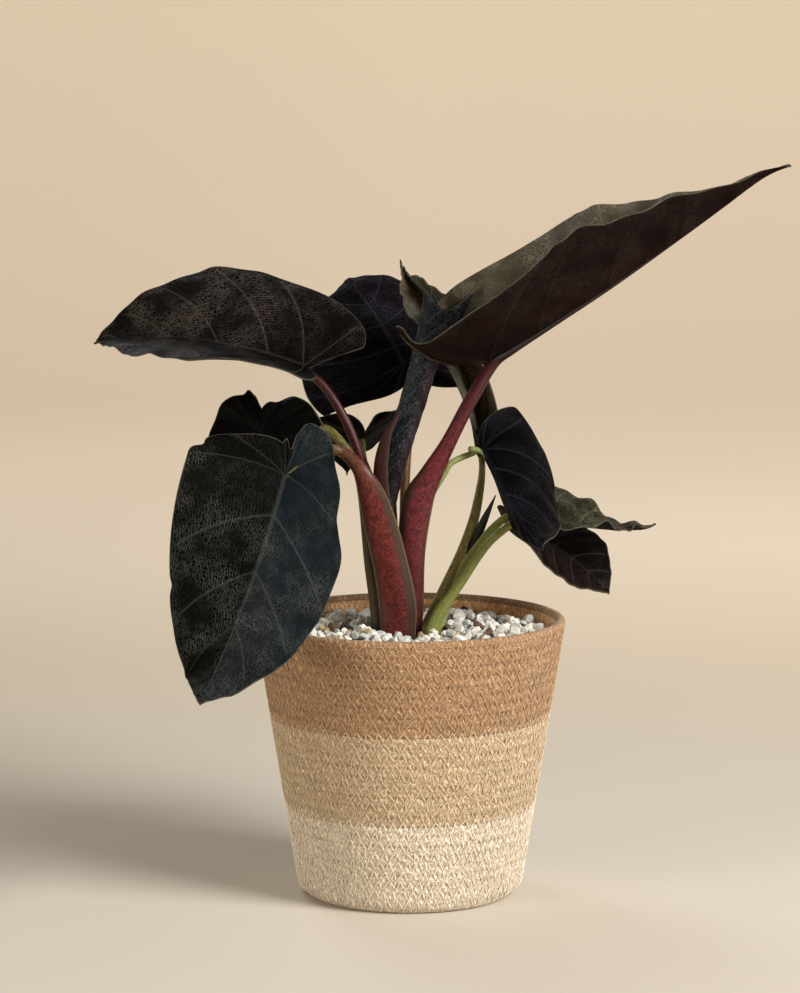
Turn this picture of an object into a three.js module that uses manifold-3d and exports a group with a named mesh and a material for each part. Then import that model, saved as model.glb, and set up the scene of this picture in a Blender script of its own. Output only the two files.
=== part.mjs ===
// Potted antoro velvet alocasia: a clump of dark leaves and a green side shoot, standing in soil
// under pale pumice, in a plastic liner inside a coiled basket of three colours.
// Millimetres, +Z up. The origin is the centre of the basket's foot on the floor, and -Y is the front.
import * as THREE from 'three';
import Module from 'manifold-3d';

const wasm = await Module();
wasm.setup();
const { Manifold, Mesh } = wasm;

const RAD = Math.PI / 180;
const TAU = Math.PI * 2;

const GAP = 0.35; // clearance between neighbours that don't grow from each other
const BASKET = {
  height: 181,
  footRadius: 65, // flat ring that stands on the floor
  coneRadiusAtFloor: 72, // outer cone, carried down to the floor
  taper: 0.161, // radius gained per millimetre of height
  cornerHeight: 14, // height of the rounded edge at the foot
  wall: 5.5,
  floor: 6,
  coil: 6.55, // height of one coil of cord
  coilDepth: 1.1, // depth of the valley between two coils
  creamCoils: 9,
  naturalCoils: 9,
  around: 29,
};
const LINER = { wall: 1.6, floor: 2, top: 163 };
const SOIL_TOP = 162;
const PUMICE = { bottom: 163.4, bed: 167.4, roomTop: 178, count: 96, small: 6.2, large: 9, seed: 21 };
const STEM_FOOT = 142; // height of the stems' lower ends, in the soil
const BLADE = 0.8; // thickness of a leaf
const LOBE_TURN = 0.4; // share of the ribs that leave the junction of stem and blade
const LOBE_END = 0.14; // rib that ends in the lobe's end
const WIDEST = 0.36; // rib that ends in the widest place

// One entry a leaf. Left (L) and right (R) halves are as seen along the heading.
// at: junction of stem and blade. heading, rise, droop, hook: direction of the midrib seen from above,
// its slope at the junction, the change of slope by the tip, and a further change in the last stretch.
// roll, twist: turn about the midrib, and its change by the tip.
// fold, curl: how far a half rises from the midrib's own plane, and its extra bend by the margin.
// long: from the junction to the tip. wide, widestAt: the broadest half width and where it is, as a
// share of the length. lobe, notch: how far the lobes and the notch between them reach behind the
// junction. lobeHalf: how far a lobe's end lies from the midrib, as a share of wide. gape: how wide
// the notch opens. lobeBend: how far a lobe bends out of the midrib's line.
// belly, taper, blunt: fullness of the margin past the widest place, and how slim and how broad it
// runs into the tip. wideL, wideR, lobeL, lobeR: factors on wide and lobe of one half.
// wave, waves, phase, phaseR: height, number and start of the ripples along the margin.
// fine: number of ribs in the grid of one half.
const LEAVES = {
  leaf_upper_left: {
    at: [-69, 12, 343], heading: 155, rise: 17, gape: 0.7, droop: -26, roll: -29, twist: -24,
    foldL: 33, foldR: 30, curlL: 0, curlR: -35, long: 158, wide: 62, lobe: 37, notch: 5,
    lobeHalf: 0.47, widestAt: 0.31,
    belly: 0.53, taper: 0.07, blunt: 0.02, wideL: 0.91, wideR: 0.97, lobeL: 0.6, lobeR: 0.85,
    lobeBendL: 0, lobeBendR: -7, wave: 1.3, waves: 4.4, phase: -0.1, phaseR: 1, hook: -12, fine: 20,
  },
  leaf_front_left: {
    at: [-78.5, -62, 281], heading: -114, rise: -56, droop: 19, roll: -33, twist: 44, foldL: -45, foldR: -1,
    curlL: 5, curlR: 5, long: 174, wide: 60, lobe: 38, notch: 19, lobeHalf: 0.21, widestAt: 0.04,
    belly: 0.63, taper: 0.07, blunt: 0.15, wideL: 1.02, wideR: 1.05, lobeL: 1.13, lobeR: 0.55,
    lobeBendL: 0, lobeBendR: 0, wave: -3, waves: 3.8, phase: 0.55, phaseR: 0.8, hook: 0, fine: 20,
  },
  leaf_upper_right: {
    at: [51, 8, 347.5], heading: -22, rise: 30, gape: 0.8, droop: 8, roll: 40, twist: -28,
    foldL: 35, foldR: 59, curlL: 0, curlR: 0, long: 237, wide: 60, lobe: 59, notch: 5,
    lobeHalf: 0.73, widestAt: 0.38,
    belly: 0.22, taper: 0.3, blunt: 0.05, wideL: 1, wideR: 1.1, lobeL: 0.68, lobeR: 1.24,
    lobeBendL: -30, lobeBendR: -84, wave: 2.4, waves: 4.1, phase: 2.4, phaseR: -0.7, hook: -25, fine: 20,
  },
  leaf_upper_back: {
    at: [-4, 80, 339], heading: 125, rise: 45, droop: -12, roll: -6, twist: 0, foldL: -30, foldR: 10,
    curlL: 0, curlR: 0, long: 86, wide: 66, lobe: 32, notch: 12, lobeHalf: 0.63, widestAt: 0.07,
    belly: 0.63, taper: -0.02, blunt: 0.13, wideL: 1.03, wideR: 0.97, lobeL: 0.78, lobeR: 1.06,
    lobeBendL: 45, lobeBendR: -10, wave: 1.5, waves: 4, phase: 0, phaseR: 1, hook: -30, fine: 15,
  },
  leaf_low_back: {
    at: [-32, 42, 293], heading: 102, rise: -22, droop: -18, roll: -6, twist: 0, foldL: 20, foldR: 24,
    curlL: 0, curlR: 0, long: 60, wide: 44, lobe: 27, notch: 14, lobeHalf: 0.41, widestAt: 0.15,
    belly: 0.5, taper: 0.3, blunt: 0, wideL: 1, wideR: 0.8, lobeL: 1.15, lobeR: 1.15,
    lobeBendL: -58, lobeBendR: -50, wave: 1.2, waves: 4, phase: 0, phaseR: 1, hook: 0, fine: 15,
  },
  leaf_behind_front_left: {
    at: [-96, 6, 299], heading: -90, rise: -73, droop: -6, roll: 10, twist: 0, foldL: 4, foldR: -5,
    curlL: 0, curlR: 0, long: 86, wide: 44, lobe: 25, notch: 17, lobeHalf: 0.44, widestAt: 0.18,
    belly: 0.5, taper: 0.3, blunt: 0, wideL: 1, wideR: 0.86, lobeL: 1, lobeR: 1.05,
    lobeBendL: -8, lobeBendR: -3, wave: 2.2, waves: 5, phase: 1, phaseR: 1.3, hook: 0, fine: 15,
  },
  leaf_drooping_right: {
    at: [47, 5, 289], heading: -62, rise: -45, droop: 19, roll: 22, twist: -33, foldL: -6, foldR: -108,
    curlL: -43, curlR: 0, long: 96, wide: 46, lobe: 29, notch: 8, lobeHalf: 0.54, widestAt: 0.23,
    belly: 0.59, taper: 0.21, blunt: 0.09, wideL: 1.16, wideR: 0.5, lobeL: 1.05, lobeR: 0.8,
    lobeBendL: -40, lobeBendR: 0, wave: 0.8, waves: 4, phase: 0, phaseR: 1, hook: 0, fine: 15,
  },
  leaf_shoot_tall: {
    at: [47, 65, 285.4], heading: 161, rise: 84, droop: -42, roll: -60, twist: -25, foldL: 74, foldR: 65,
    curlL: 0, curlR: 0, long: 137, wide: 36, lobe: 14, notch: 4, lobeHalf: 0.4, widestAt: 0.68,
    belly: 0.53, taper: 0.32, blunt: -0.03, wideL: 1.07, wideR: 0.91, lobeL: 0.5, lobeR: 1,
    lobeBendL: 0, lobeBendR: 0, wave: 1, waves: 4, phase: 0, phaseR: 1, hook: 40, fine: 15,
  },
  leaf_shoot_lower: {
    at: [88, 54, 224], heading: -15, rise: -28, droop: -19, roll: 20, twist: 22, foldL: -9, foldR: 22,
    curlL: 0, curlR: 0, long: 58, wide: 44, lobe: 33, notch: 6, lobeHalf: 0.5, widestAt: 0.22,
    belly: 0.52, taper: 0.13, blunt: 0.12, wideL: 1.01, wideR: 0.99, lobeL: 1, lobeR: 1.08,
    lobeBendL: 0, lobeBendR: -37, wave: 0.8, waves: 4, phase: 0, phaseR: 1, hook: 0, fine: 15,
  },
  leaf_shoot_green: {
    at: [78, 30, 248], heading: 18, rise: -25, droop: 29, roll: 17, twist: -33, foldL: 23, foldR: 4,
    curlL: 0, curlR: 10, long: 93, wide: 46, lobe: 16, notch: 5, lobeHalf: 0.5, widestAt: 0.14,
    belly: 0.63, taper: 0.18, blunt: 0, wideL: 1.04, wideR: 0.55, lobeL: 1, lobeR: 1,
    lobeBendL: 0, lobeBendR: 0, wave: 3, waves: 3.8, phase: 0, phaseR: 1.3, hook: 30, fine: 15,
  },
};

// Stems from the soil up to the junction: x, y, z, half width, half depth. A sheath is hollowed on its
// back face up to the height sheathTop.
const STEMS = {
  leaf_front_left: {
    sheathTop: 275,
    via: [[-8, -8, 189, 11.5, 5], [-13, -9, 218, 10.5, 4.6], [-19, -11, 242, 10, 4.2],
      [-25, -14, 263, 8.2, 4], [-31, -16, 277, 5.4, 3.8], [-40, -13, 287.5, 3.9, 3.6],
      [-48, -14, 291.5, 3.4, 3.3], [-57, -23, 292.5, 3.2, 3.1], [-65, -34.5, 291, 3.1, 3],
      [-72, -47, 287, 2.9, 2.9]],
  },
  leaf_upper_right: {
    sheathTop: 275,
    via: [[0, 2.5, 191, 8.5, 4.2], [1, 2, 224, 8.5, 4.2], [5, 2.5, 255, 9.5, 4.2],
      [13, 4, 272, 7.5, 4.2], [25, 5, 294, 5, 4.4], [39, 6.5, 321, 4.4, 4.4]],
  },
  leaf_behind_front_left: {
    via: [[-21, 2, 187, 5.2, 4.4], [-25, 1, 216, 4.8, 4.2], [-30, -3, 262, 4, 3.8],
      [-36, -6, 282, 3.4, 3.4], [-50, -2, 301, 2.8, 2.8], [-63, 5, 304, 2.6, 2.6],
      [-80, 13, 302, 2.5, 2.5]],
  },
  leaf_upper_left: {
    via: [[-17, 18, 190, 3.8, 3.8], [-21, 17, 225, 3.6, 3.6], [-22.5, 15.5, 248, 3.4, 3.4],
      [-26, 13, 268, 3.2, 3.2], [-33, 11, 286, 3.1, 3.1],
      [-42, 11, 308, 3, 3], [-55, 12, 329, 2.9, 2.9]],
  },
  leaf_upper_back: {
    via: [[-4, 25, 214, 3.4, 3.4], [-3, 46, 265, 3.2, 3.2], [-0.5, 66, 302, 3, 3], [-2, 76, 327, 2.8, 2.8]],
  },
  leaf_low_back: {
    via: [[-20, 25, 214, 2.8, 2.8], [-26, 32, 253, 2.6, 2.6], [-31, 40, 282, 2.4, 2.4]],
  },
  leaf_drooping_right: {
    via: [[1, 12.5, 190, 2.9, 2.9], [3, 13, 222, 2.8, 2.8], [12, 14, 254, 2.4, 2.4],
      [22, 13.5, 272, 2.1, 2.1], [29, 12, 284, 2, 2], [38, 10, 289, 1.9, 1.9]],
  },
  leaf_shoot_tall: {
    via: [[14, 9, 174, 6.2, 5], [24, 13, 196, 5.2, 4.8], [34, 21, 218, 4.2, 4.2], [41, 29, 237, 3.5, 3.5],
      [45, 40, 252, 3, 3], [48, 55, 270, 2.2, 2.2]],
  },
  leaf_shoot_lower: {
    via: [[18, -5, 182, 4, 3.4], [32, -1, 202, 3.2, 3.2], [49, 4, 226, 2.7, 2.7], [62, 10, 237, 2.6, 2.6],
      [73, 22, 242, 2.5, 2.5], [83, 42, 235, 2.2, 2.2]],
  },
  leaf_shoot_green: {
    via: [[21, 3, 181, 3.2, 3], [29, 6, 198, 2.9, 2.9], [37, 9, 215, 2.7, 2.7], [46, 13, 227, 2.7, 2.7],
      [53, 16, 235, 2.7, 2.7], [63, 20, 243, 2.6, 2.6]],
  },
};
// Where each stem enters the soil: x, y, half width, half depth.
const FEET = {
  leaf_front_left: [-8, -8, 11.5, 5],
  leaf_upper_right: [-1, 3, 9, 4.2],
  leaf_behind_front_left: [-20, 2, 5.5, 4.5],
  leaf_upper_left: [-14.5, 18, 4, 4],
  leaf_upper_back: [-5.5, 20, 3.8, 3.8],
  leaf_low_back: [-19, 26, 3, 3],
  leaf_drooping_right: [0, 12, 3, 3],
  young_shoot: [-9, 9.5, 4.2, 3.6],
  leaf_shoot_tall: [9, 8, 6.5, 5],
  leaf_shoot_lower: [12, -6, 4.4, 3.6],
  leaf_shoot_green: [18, 2, 3.4, 3.2],
};
// The youngest leaf, still rolled like a cone: axis points with half width and half depth of the roll.
const ROLL = {
  axis: [[-14, 9, 252, 5, 4.2], [-10, 10, 279, 8.8, 5.6], [-5, 12, 297, 9.6, 6.2], [2, 14, 318, 9.6, 6.2],
    [8.5, 15, 340, 10, 6.2], [16, 16, 361, 12.5, 6.4], [23, 17, 380, 16, 6.8], [27, 18, 392, 18.5, 7]],
  turns: 1.3,
  spiral: 0.3, // how much tighter the roll is at its inner margin
  start: 70, // angle of the outer margin about the axis
  mouthDip: 13, // depth of the notches in the mouth between its two points
};
// The rolled leaf's stalk above the pumice.
const STALK = [[-10.5, 9.5, 216, 4.4, 3.8], [-13, 9, 245, 4.8, 4], [-13.5, 9.2, 260, 4.4, 3.6],
  [-12, 9.6, 270, 2, 1.8]];
// The reddish bract beside the rolled leaf, and the dark new spike beside the tall stem of the shoot.
const BRACT = [[-13, 7, 214, 2.5, 1.2], [-17, 2.5, 250, 4.6, 1.3], [-19, 1.5, 270, 4.8, 1.3],
  [-18, 2, 286, 4.2, 1.2], [-14, 3, 301, 2.6, 1], [-6, 6, 314, 0.4, 0.4]];
const SPIKE = [[31, 19, 209, 2, 2], [41, 21, 224, 3.2, 3], [48, 20, 240, 2.6, 2.2],
  [56, 18, 258, 0.3, 0.3]];

const COLOURS = {
  leafDark: 0x1d2422, leafOlive: 0x30352a, leafGreen: 0x3a4630, young: 0x33262b,
  cream: 0xd9c7a6, natural: 0xc4a57c, tan: 0xb48a5f, liner: 0x2b2926, soil: 0x3b2c20, pumice: 0xc9c7c0,
};

const mix = (a, b, t) => a + (b - a) * t;
const clamp = (v, lo, hi) => Math.min(hi, Math.max(lo, v));
const add = (a, b) => [a[0] + b[0], a[1] + b[1], a[2] + b[2]];
const sub = (a, b) => [a[0] - b[0], a[1] - b[1], a[2] - b[2]];
const scale = (a, k) => [a[0] * k, a[1] * k, a[2] * k];
const dot = (a, b) => a[0] * b[0] + a[1] * b[1] + a[2] * b[2];
const cross = (a, b) => [a[1] * b[2] - a[2] * b[1], a[2] * b[0] - a[0] * b[2], a[0] * b[1] - a[1] * b[0]];
const unit = (a) => scale(a, 1 / (Math.hypot(...a) || 1));

function seeded(seed) {
  let s = seed;
  return () => {
    s = (s * 1664525 + 1013904223) % 4294967296;
    return s / 4294967296;
  };
}

// A closed solid from a list of points and a list of triangles.
function solid(points, triangles) {
  return new Manifold(new Mesh({
    numProp: 3,
    vertProperties: new Float32Array(points.flat()),
    triVerts: new Uint32Array(triangles.flat()),
  }));
}

// A solid of revolution about Z from a closed profile of [radius, height], taken anticlockwise.
function turned(profile, around) {
  const points = [];
  const triangles = [];
  const n = profile.length;
  for (let k = 0; k < around; k++) {
    const angle = (TAU * k) / around;
    for (let i = 0; i < n; i++) {
      const r = profile[i][0];
      points.push([r * Math.cos(angle), r * Math.sin(angle), profile[i][1]]);
    }
  }
  for (let k = 0; k < around; k++) {
    const next = (k + 1) % around;
    for (let i = 0; i < n; i++) {
      const j = (i + 1) % n;
      const [a, b, c, d] = [k * n + i, next * n + i, next * n + j, k * n + j];
      if (profile[i][0] > 0) triangles.push([a, b, c]);
      if (profile[j][0] > 0) triangles.push([a, c, d]);
    }
  }
  return weld(points, triangles);
}

// Points on the axis coincide, so equal points are joined before the solid is made.
function weld(points, triangles) {
  const seen = new Map();
  const kept = [];
  const index = points.map((p) => {
    const key = p.map((v) => Math.round(v * 1e5)).join(',');
    if (!seen.has(key)) {
      seen.set(key, kept.length);
      kept.push(p);
    }
    return seen.get(key);
  });
  const faces = triangles.map((t) => t.map((i) => index[i]));
  return solid(kept, faces.filter(([a, b, c]) => a !== b && b !== c && c !== a));
}

// Rings along a path of [x, y, z, half width, half depth]. grow widens the ring all round, and hollow
// gives for a point of the path how deep the back of the ring is pressed in.
function tube(path, sides, grow = 0, hollow = () => 0) {
  const points = [];
  const triangles = [];
  let across = [1, 0, 0];
  for (let i = 0; i < path.length; i++) {
    const here = path[i];
    const forward = unit(sub(path[Math.min(i + 1, path.length - 1)], path[Math.max(i - 1, 0)]));
    across = unit(sub(across, scale(forward, dot(across, forward))));
    const back = cross(forward, across);
    for (let k = 0; k < sides; k++) {
      const angle = (TAU * k) / sides;
      const [c, s] = [Math.cos(angle), Math.sin(angle)];
      const press = s > 0 ? 1 - 1.45 * hollow(here) * s : 1;
      const wide = (here[3] + grow) * c;
      const deep = (here[4] * press + grow) * s;
      points.push(add(here.slice(0, 3), add(scale(across, wide), scale(back, deep))));
    }
  }
  const rings = path.length;
  for (let i = 0; i + 1 < rings; i++) {
    for (let k = 0; k < sides; k++) {
      const n = (k + 1) % sides;
      const [a, b, c, d] = [i * sides + k, i * sides + n, (i + 1) * sides + n, (i + 1) * sides + k];
      triangles.push([a, b, c], [a, c, d]);
    }
  }
  for (const ring of [0, rings - 1]) {
    const centre = points.length;
    const mid = points.slice(ring * sides, ring * sides + sides).reduce(add, [0, 0, 0]);
    points.push(scale(mid, 1 / sides));
    for (let k = 0; k < sides; k++) {
      const n = (k + 1) % sides;
      const [a, b] = [ring * sides + k, ring * sides + n];
      triangles.push(ring === 0 ? [centre, b, a] : [centre, a, b]);
    }
  }
  return weld(points, triangles);
}

// From the foot in the soil to the blade's junction, where the last short stretch tapers into the blade.
function stemPath(name) {
  const [x, y, a, b] = FEET[name];
  const via = STEMS[name].via;
  const r = via.at(-1)[3] * 0.92;
  const { place, up } = midrib(LEAVES[name], 1)(0);
  const rows = [...via, [...sub(place, scale(up, 0.8 * r)), r, r], [...place, 0.3 * r, 0.3 * r]];
  return [[x, y, STEM_FOOT, a, b], [x, y, 166, a, b], ...rows];
}

function stem(name, grow = 0) {
  const top = STEMS[name].sheathTop;
  const hollow = (p) => (top ? clamp((top - p[2]) / 25, 0, 1) * clamp((p[2] - 176) / 12, 0, 1) : 0);
  return tube(stemPath(name), top ? 12 : 8, grow, grow > 0 ? () => 0 : hollow);
}

// The point at u of a flat cubic curve with four control points.
const bezier = (p, u) => {
  const v = 1 - u;
  const weights = [v ** 3, 3 * v * v * u, 3 * v * u * u, u ** 3];
  return [0, 1].map((k) => weights.reduce((sum, w, i) => sum + w * p[i][k], 0));
};

// Half of the flat outline, from the notch between the lobes (q = 0) round to the tip (q = 1).
function outline(leaf, side, q) {
  const wide = leaf.wide * (side > 0 ? leaf.wideL : leaf.wideR);
  const lobe = leaf.lobe * (side > 0 ? leaf.lobeL : leaf.lobeR);
  const half = leaf.lobeHalf * wide;
  const at = leaf.widestAt * leaf.long;
  const reach = lobe - leaf.notch;
  const notch = [-leaf.notch, 0];
  const lobeEnd = [-lobe, half];
  const widest = [at, wide];
  const tip = [leaf.long, 0];
  if (q <= LOBE_END) {
    const gape = leaf.gape ?? 0;
    const inner = [-leaf.notch - 0.55 * reach * (1 - 0.5 * gape), (0.12 + 0.5 * gape) * half];
    return bezier([notch, inner, [-lobe, (0.5 + 0.4 * gape) * half], lobeEnd], q / LOBE_END);
  }
  if (q <= WIDEST) {
    const rise = [-lobe, half + 0.55 * (wide - half)];
    const bulge = [at - 0.55 * (at + lobe), wide];
    return bezier([lobeEnd, rise, bulge, widest], (q - LOBE_END) / (WIDEST - LOBE_END));
  }
  const run = leaf.long - at;
  const shoulder = [at + leaf.belly * run, wide];
  const slim = [leaf.long - leaf.taper * run, leaf.blunt * wide];
  return bezier([widest, shoulder, slim, tip], (q - WIDEST) / (1 - WIDEST));
}

// The midrib in space: position and frame for a distance x along it. Behind the junction the two
// lobes bend on their own.
function midrib(leaf, side) {
  const steps = 80;
  const low = -1.6 * leaf.lobe;
  const dx = (leaf.long - low) / steps;
  const rows = [];
  let place = [0, 0, 0];
  const bend = side > 0 ? leaf.lobeBendL : leaf.lobeBendR;
  const frame = (x) => {
    const u = clamp(x / leaf.long, 0, 1);
    const back = clamp((-x - leaf.notch) / (leaf.lobe - leaf.notch), 0, 1.3);
    const tipward = clamp((u - 0.86) / 0.14, 0, 1) ** 1.5;
    const heading = leaf.heading * RAD;
    const slope = (leaf.rise + leaf.droop * u + leaf.hook * tipward + bend * back) * RAD;
    const turn = (leaf.roll + leaf.twist * u) * RAD;
    const ahead = [Math.cos(heading), Math.sin(heading), 0];
    const level = [-Math.sin(heading), Math.cos(heading), 0];
    const along = add(scale(ahead, Math.cos(slope)), [0, 0, Math.sin(slope)]);
    const over = cross(along, level);
    const across = add(scale(level, Math.cos(turn)), scale(over, Math.sin(turn)));
    const up = sub(scale(over, Math.cos(turn)), scale(level, Math.sin(turn)));
    return { along, across, up };
  };
  for (let i = 0; i <= steps; i++) {
    const x = low + i * dx;
    if (i > 0) place = add(place, scale(frame(x - dx / 2).along, dx));
    rows.push({ x, place });
  }
  const lookup = (x) => {
    const f = clamp((x - low) / dx, 0, steps - 1e-9);
    const i = Math.floor(f);
    return add(scale(rows[i].place, 1 - f + i), scale(rows[i + 1].place, f - i));
  };
  const zero = lookup(0);
  return (x) => ({ place: add(leaf.at, sub(lookup(x), zero)), ...frame(x) });
}

// The middle surface of one half at rib s and share t of the way from the midrib to the margin.
function bladePoint(leaf, side, rib, s, t) {
  const root = s > LOBE_TURN ? (leaf.long * (s - LOBE_TURN)) / (1 - LOBE_TURN) : 0;
  const end = outline(leaf, side, s);
  const chord = [end[0] - root, end[1]];
  const length = Math.hypot(...chord) || 1e-9;
  const bow = 0.08 * 4 * t * (1 - t) * clamp((s - 0.1) / 0.3, 0, 1);
  const x = root + chord[0] * t - chord[1] * bow;
  const y = Math.max(chord[1] * t + chord[0] * bow, 0);
  const fold = (side > 0 ? leaf.foldL : leaf.foldR) * RAD;
  const curl = ((side > 0 ? leaf.curlL : leaf.curlR) * RAD) / leaf.wide;
  const halfTurn = (curl * y) / 2;
  const run = y * (Math.abs(halfTurn) < 1e-6 ? 1 : Math.sin(halfTurn) / halfTurn);
  const lean = fold + curl * y;
  const { place, across, up } = rib(x);
  const phase = leaf.phase + (side > 0 ? 0 : leaf.phaseR);
  const turns = TAU * leaf.waves * s;
  const ripple = Math.sin(turns + phase) + 0.5 * Math.sin(2.3 * turns + 2.1 * phase);
  const ends = clamp(s / 0.08, 0, 1) * clamp((1 - s) / 0.05, 0, 1);
  const fade = clamp(length / (0.6 * leaf.wide), 0, 1) * ends;
  const size = leaf.wave * t * t * fade;
  const out = run * Math.cos(fold + halfTurn);
  const high = run * Math.sin(fold + halfTurn);
  const normal = add(scale(across, -side * Math.sin(lean)), scale(up, Math.cos(lean)));
  return add(place, add(add(scale(across, side * out), scale(up, high)), scale(normal, size * ripple)));
}

// A closed leaf from its middle surface: set off to both sides by half the thickness along the mean
// normal, more where the surface is creased, with one row of faces along each border edge.
function thickened(points, faces, border) {
  const flats = faces.map(([a, b, c]) => cross(sub(points[b], points[a]), sub(points[c], points[a])));
  const normals = points.map(() => [0, 0, 0]);
  faces.forEach((f, k) => f.forEach((v) => { normals[v] = add(normals[v], flats[k]); }));
  const least = points.map(() => 1);
  faces.forEach((f, k) => f.forEach((v) => {
    least[v] = Math.min(least[v], dot(unit(normals[v]), unit(flats[k])));
  }));
  const half = normals.map((m, v) => scale(unit(m), BLADE / 2 / clamp(least[v], 0.45, 1)));
  const n = points.length;
  const all = [...points.map((p, v) => add(p, half[v])), ...points.map((p, v) => sub(p, half[v]))];
  const shell = [...faces, ...faces.map(([a, b, c]) => [a + n, c + n, b + n])];
  for (const [a, b] of border) shell.push([b, a, a + n], [b, a + n, b + n]);
  return solid(all, shell);
}

// A blade from the ribs of its two halves, which share the midrib and the notch between the lobes.
function blade(leaf) {
  const ribs = leaf.fine;
  const steps = leaf.fine > 15 ? 4 : 3;
  const points = [];
  const faces = [];
  const ids = new Map();
  const idOf = (side, i, j) => {
    const s = i / ribs;
    if (i === ribs) return named('tip', () => bladePoint(leaf, 1, left, 1, 0));
    if (j === 0 && s <= LOBE_TURN) return named('junction', () => bladePoint(leaf, 1, left, 0, 0));
    const shared = j === 0 || i === 0;
    const key = `${shared ? 0 : side},${i},${j}`;
    return named(key, () => bladePoint(leaf, side, side > 0 ? left : right, s, j / steps));
  };
  const named = (key, make) => {
    if (!ids.has(key)) {
      ids.set(key, points.length);
      points.push(make());
    }
    return ids.get(key);
  };
  const left = midrib(leaf, 1);
  const right = midrib(leaf, -1);
  const margin = [];
  for (const side of [1, -1]) {
    for (let i = 0; i < ribs; i++) {
      for (let j = 0; j < steps; j++) {
        const [a, b] = [idOf(side, i, j), idOf(side, i + 1, j)];
        const [c, d] = [idOf(side, i + 1, j + 1), idOf(side, i, j + 1)];
        for (const f of [[a, b, c], [a, c, d]]) {
          if (f[0] === f[1] || f[1] === f[2] || f[2] === f[0]) continue;
          faces.push(side > 0 ? f : [f[0], f[2], f[1]]);
        }
      }
      const edge = [idOf(side, i, steps), idOf(side, i + 1, steps)];
      margin.push(side > 0 ? [edge[1], edge[0]] : edge);
    }
  }
  return thickened(points, faces, margin);
}

// The raised rib under the blade, from the junction almost to the tip.
function ribUnder(leaf, thick) {
  const at = midrib(leaf, 1);
  const rows = [];
  for (const u of [-0.02, 0.2, 0.5, 0.82]) {
    const { place, up } = at(u * leaf.long);
    const r = thick * (1 - 0.75 * u);
    const p = sub(place, scale(up, 0.55 * r));
    rows.push([...p, r, r]);
  }
  return tube(rows, 5);
}

function leafSolid(name) {
  const leaf = LEAVES[name];
  const top = STEMS[name].via.at(-1)[3];
  let body = blade(leaf).add(stem(name));
  if (leaf.fine > 15) body = body.add(ribUnder(leaf, top * 0.8));
  return body;
}

function rolledLeaf() {
  const path = ROLL.axis;
  const rows = path.length;
  const round = 18;
  const points = [];
  const faces = [];
  const centre = (f) => {
    const i = clamp(Math.floor(f), 0, rows - 2);
    return path[i].map((v, k) => mix(v, path[i + 1][k], f - i));
  };
  for (let i = 0; i < rows; i++) {
    for (let j = 0; j <= round; j++) {
      const v = j / round;
      const angle = (ROLL.start + 360 * ROLL.turns * v) * RAD;
      const dip = (ROLL.mouthDip / 11) * (i / (rows - 1)) ** 4 * Math.sin(angle) ** 2;
      const here = centre(i - dip * 0.9);
      const size = 1 - ROLL.spiral * v;
      const out = [here[3] * size * Math.cos(angle), here[4] * size * Math.sin(angle), 0];
      points.push(add(here.slice(0, 3), out));
    }
  }
  const wide = round + 1;
  for (let i = 0; i + 1 < rows; i++) {
    for (let j = 0; j < round; j++) {
      const [a, b, c, d] = [i * wide + j, i * wide + j + 1, (i + 1) * wide + j + 1, (i + 1) * wide + j];
      faces.push([a, b, c], [a, c, d]);
    }
  }
  const border = [];
  const last = (rows - 1) * wide;
  for (let j = 0; j < round; j++) border.push([j, j + 1], [last + j + 1, last + j]);
  for (let i = 0; i + 1 < rows; i++) {
    const [low, high] = [i * wide, (i + 1) * wide];
    border.push([high, low], [low + round, high + round]);
  }
  return thickened(points, faces, border);
}

function youngShoot() {
  const [x, y, a, b] = FEET.young_shoot;
  const stalk = tube([[x, y, STEM_FOOT, a, b], [x, y, 166, a, b], ...STALK], 8);
  const bract = tube(BRACT, 10, 0, (p) => clamp((p[2] - 222) / 20, 0, 1) * 0.9);
  return rolledLeaf().add(stalk).add(bract);
}

const outerRadius = (z) => {
  if (z >= BASKET.cornerHeight) return BASKET.coneRadiusAtFloor + BASKET.taper * z;
  const edge = BASKET.coneRadiusAtFloor + BASKET.taper * BASKET.cornerHeight;
  const t = 1 - z / BASKET.cornerHeight;
  return BASKET.footRadius + (edge - BASKET.footRadius) * Math.sqrt(1 - t * t);
};
const innerRadius = (z) => BASKET.coneRadiusAtFloor + BASKET.taper * z - BASKET.wall;

// The outside of a band of coils, from the bottom up: each coil swells between two valleys.
function band(firstCoil, coils) {
  const z0 = firstCoil * BASKET.coil + GAP / 2;
  const z1 = (firstCoil + coils) * BASKET.coil - GAP / 2;
  const profile = [];
  for (let c = 0; c < coils; c++) {
    const low = Math.max(z0, (firstCoil + c) * BASKET.coil);
    const crest = (firstCoil + c + 0.5) * BASKET.coil;
    const onFloor = c === 0 && firstCoil === 0;
    profile.push(onFloor ? [BASKET.footRadius, 0] : [outerRadius(low) - BASKET.coilDepth, low]);
    profile.push([outerRadius(crest), crest]);
  }
  return { profile, z0, z1 };
}

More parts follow.
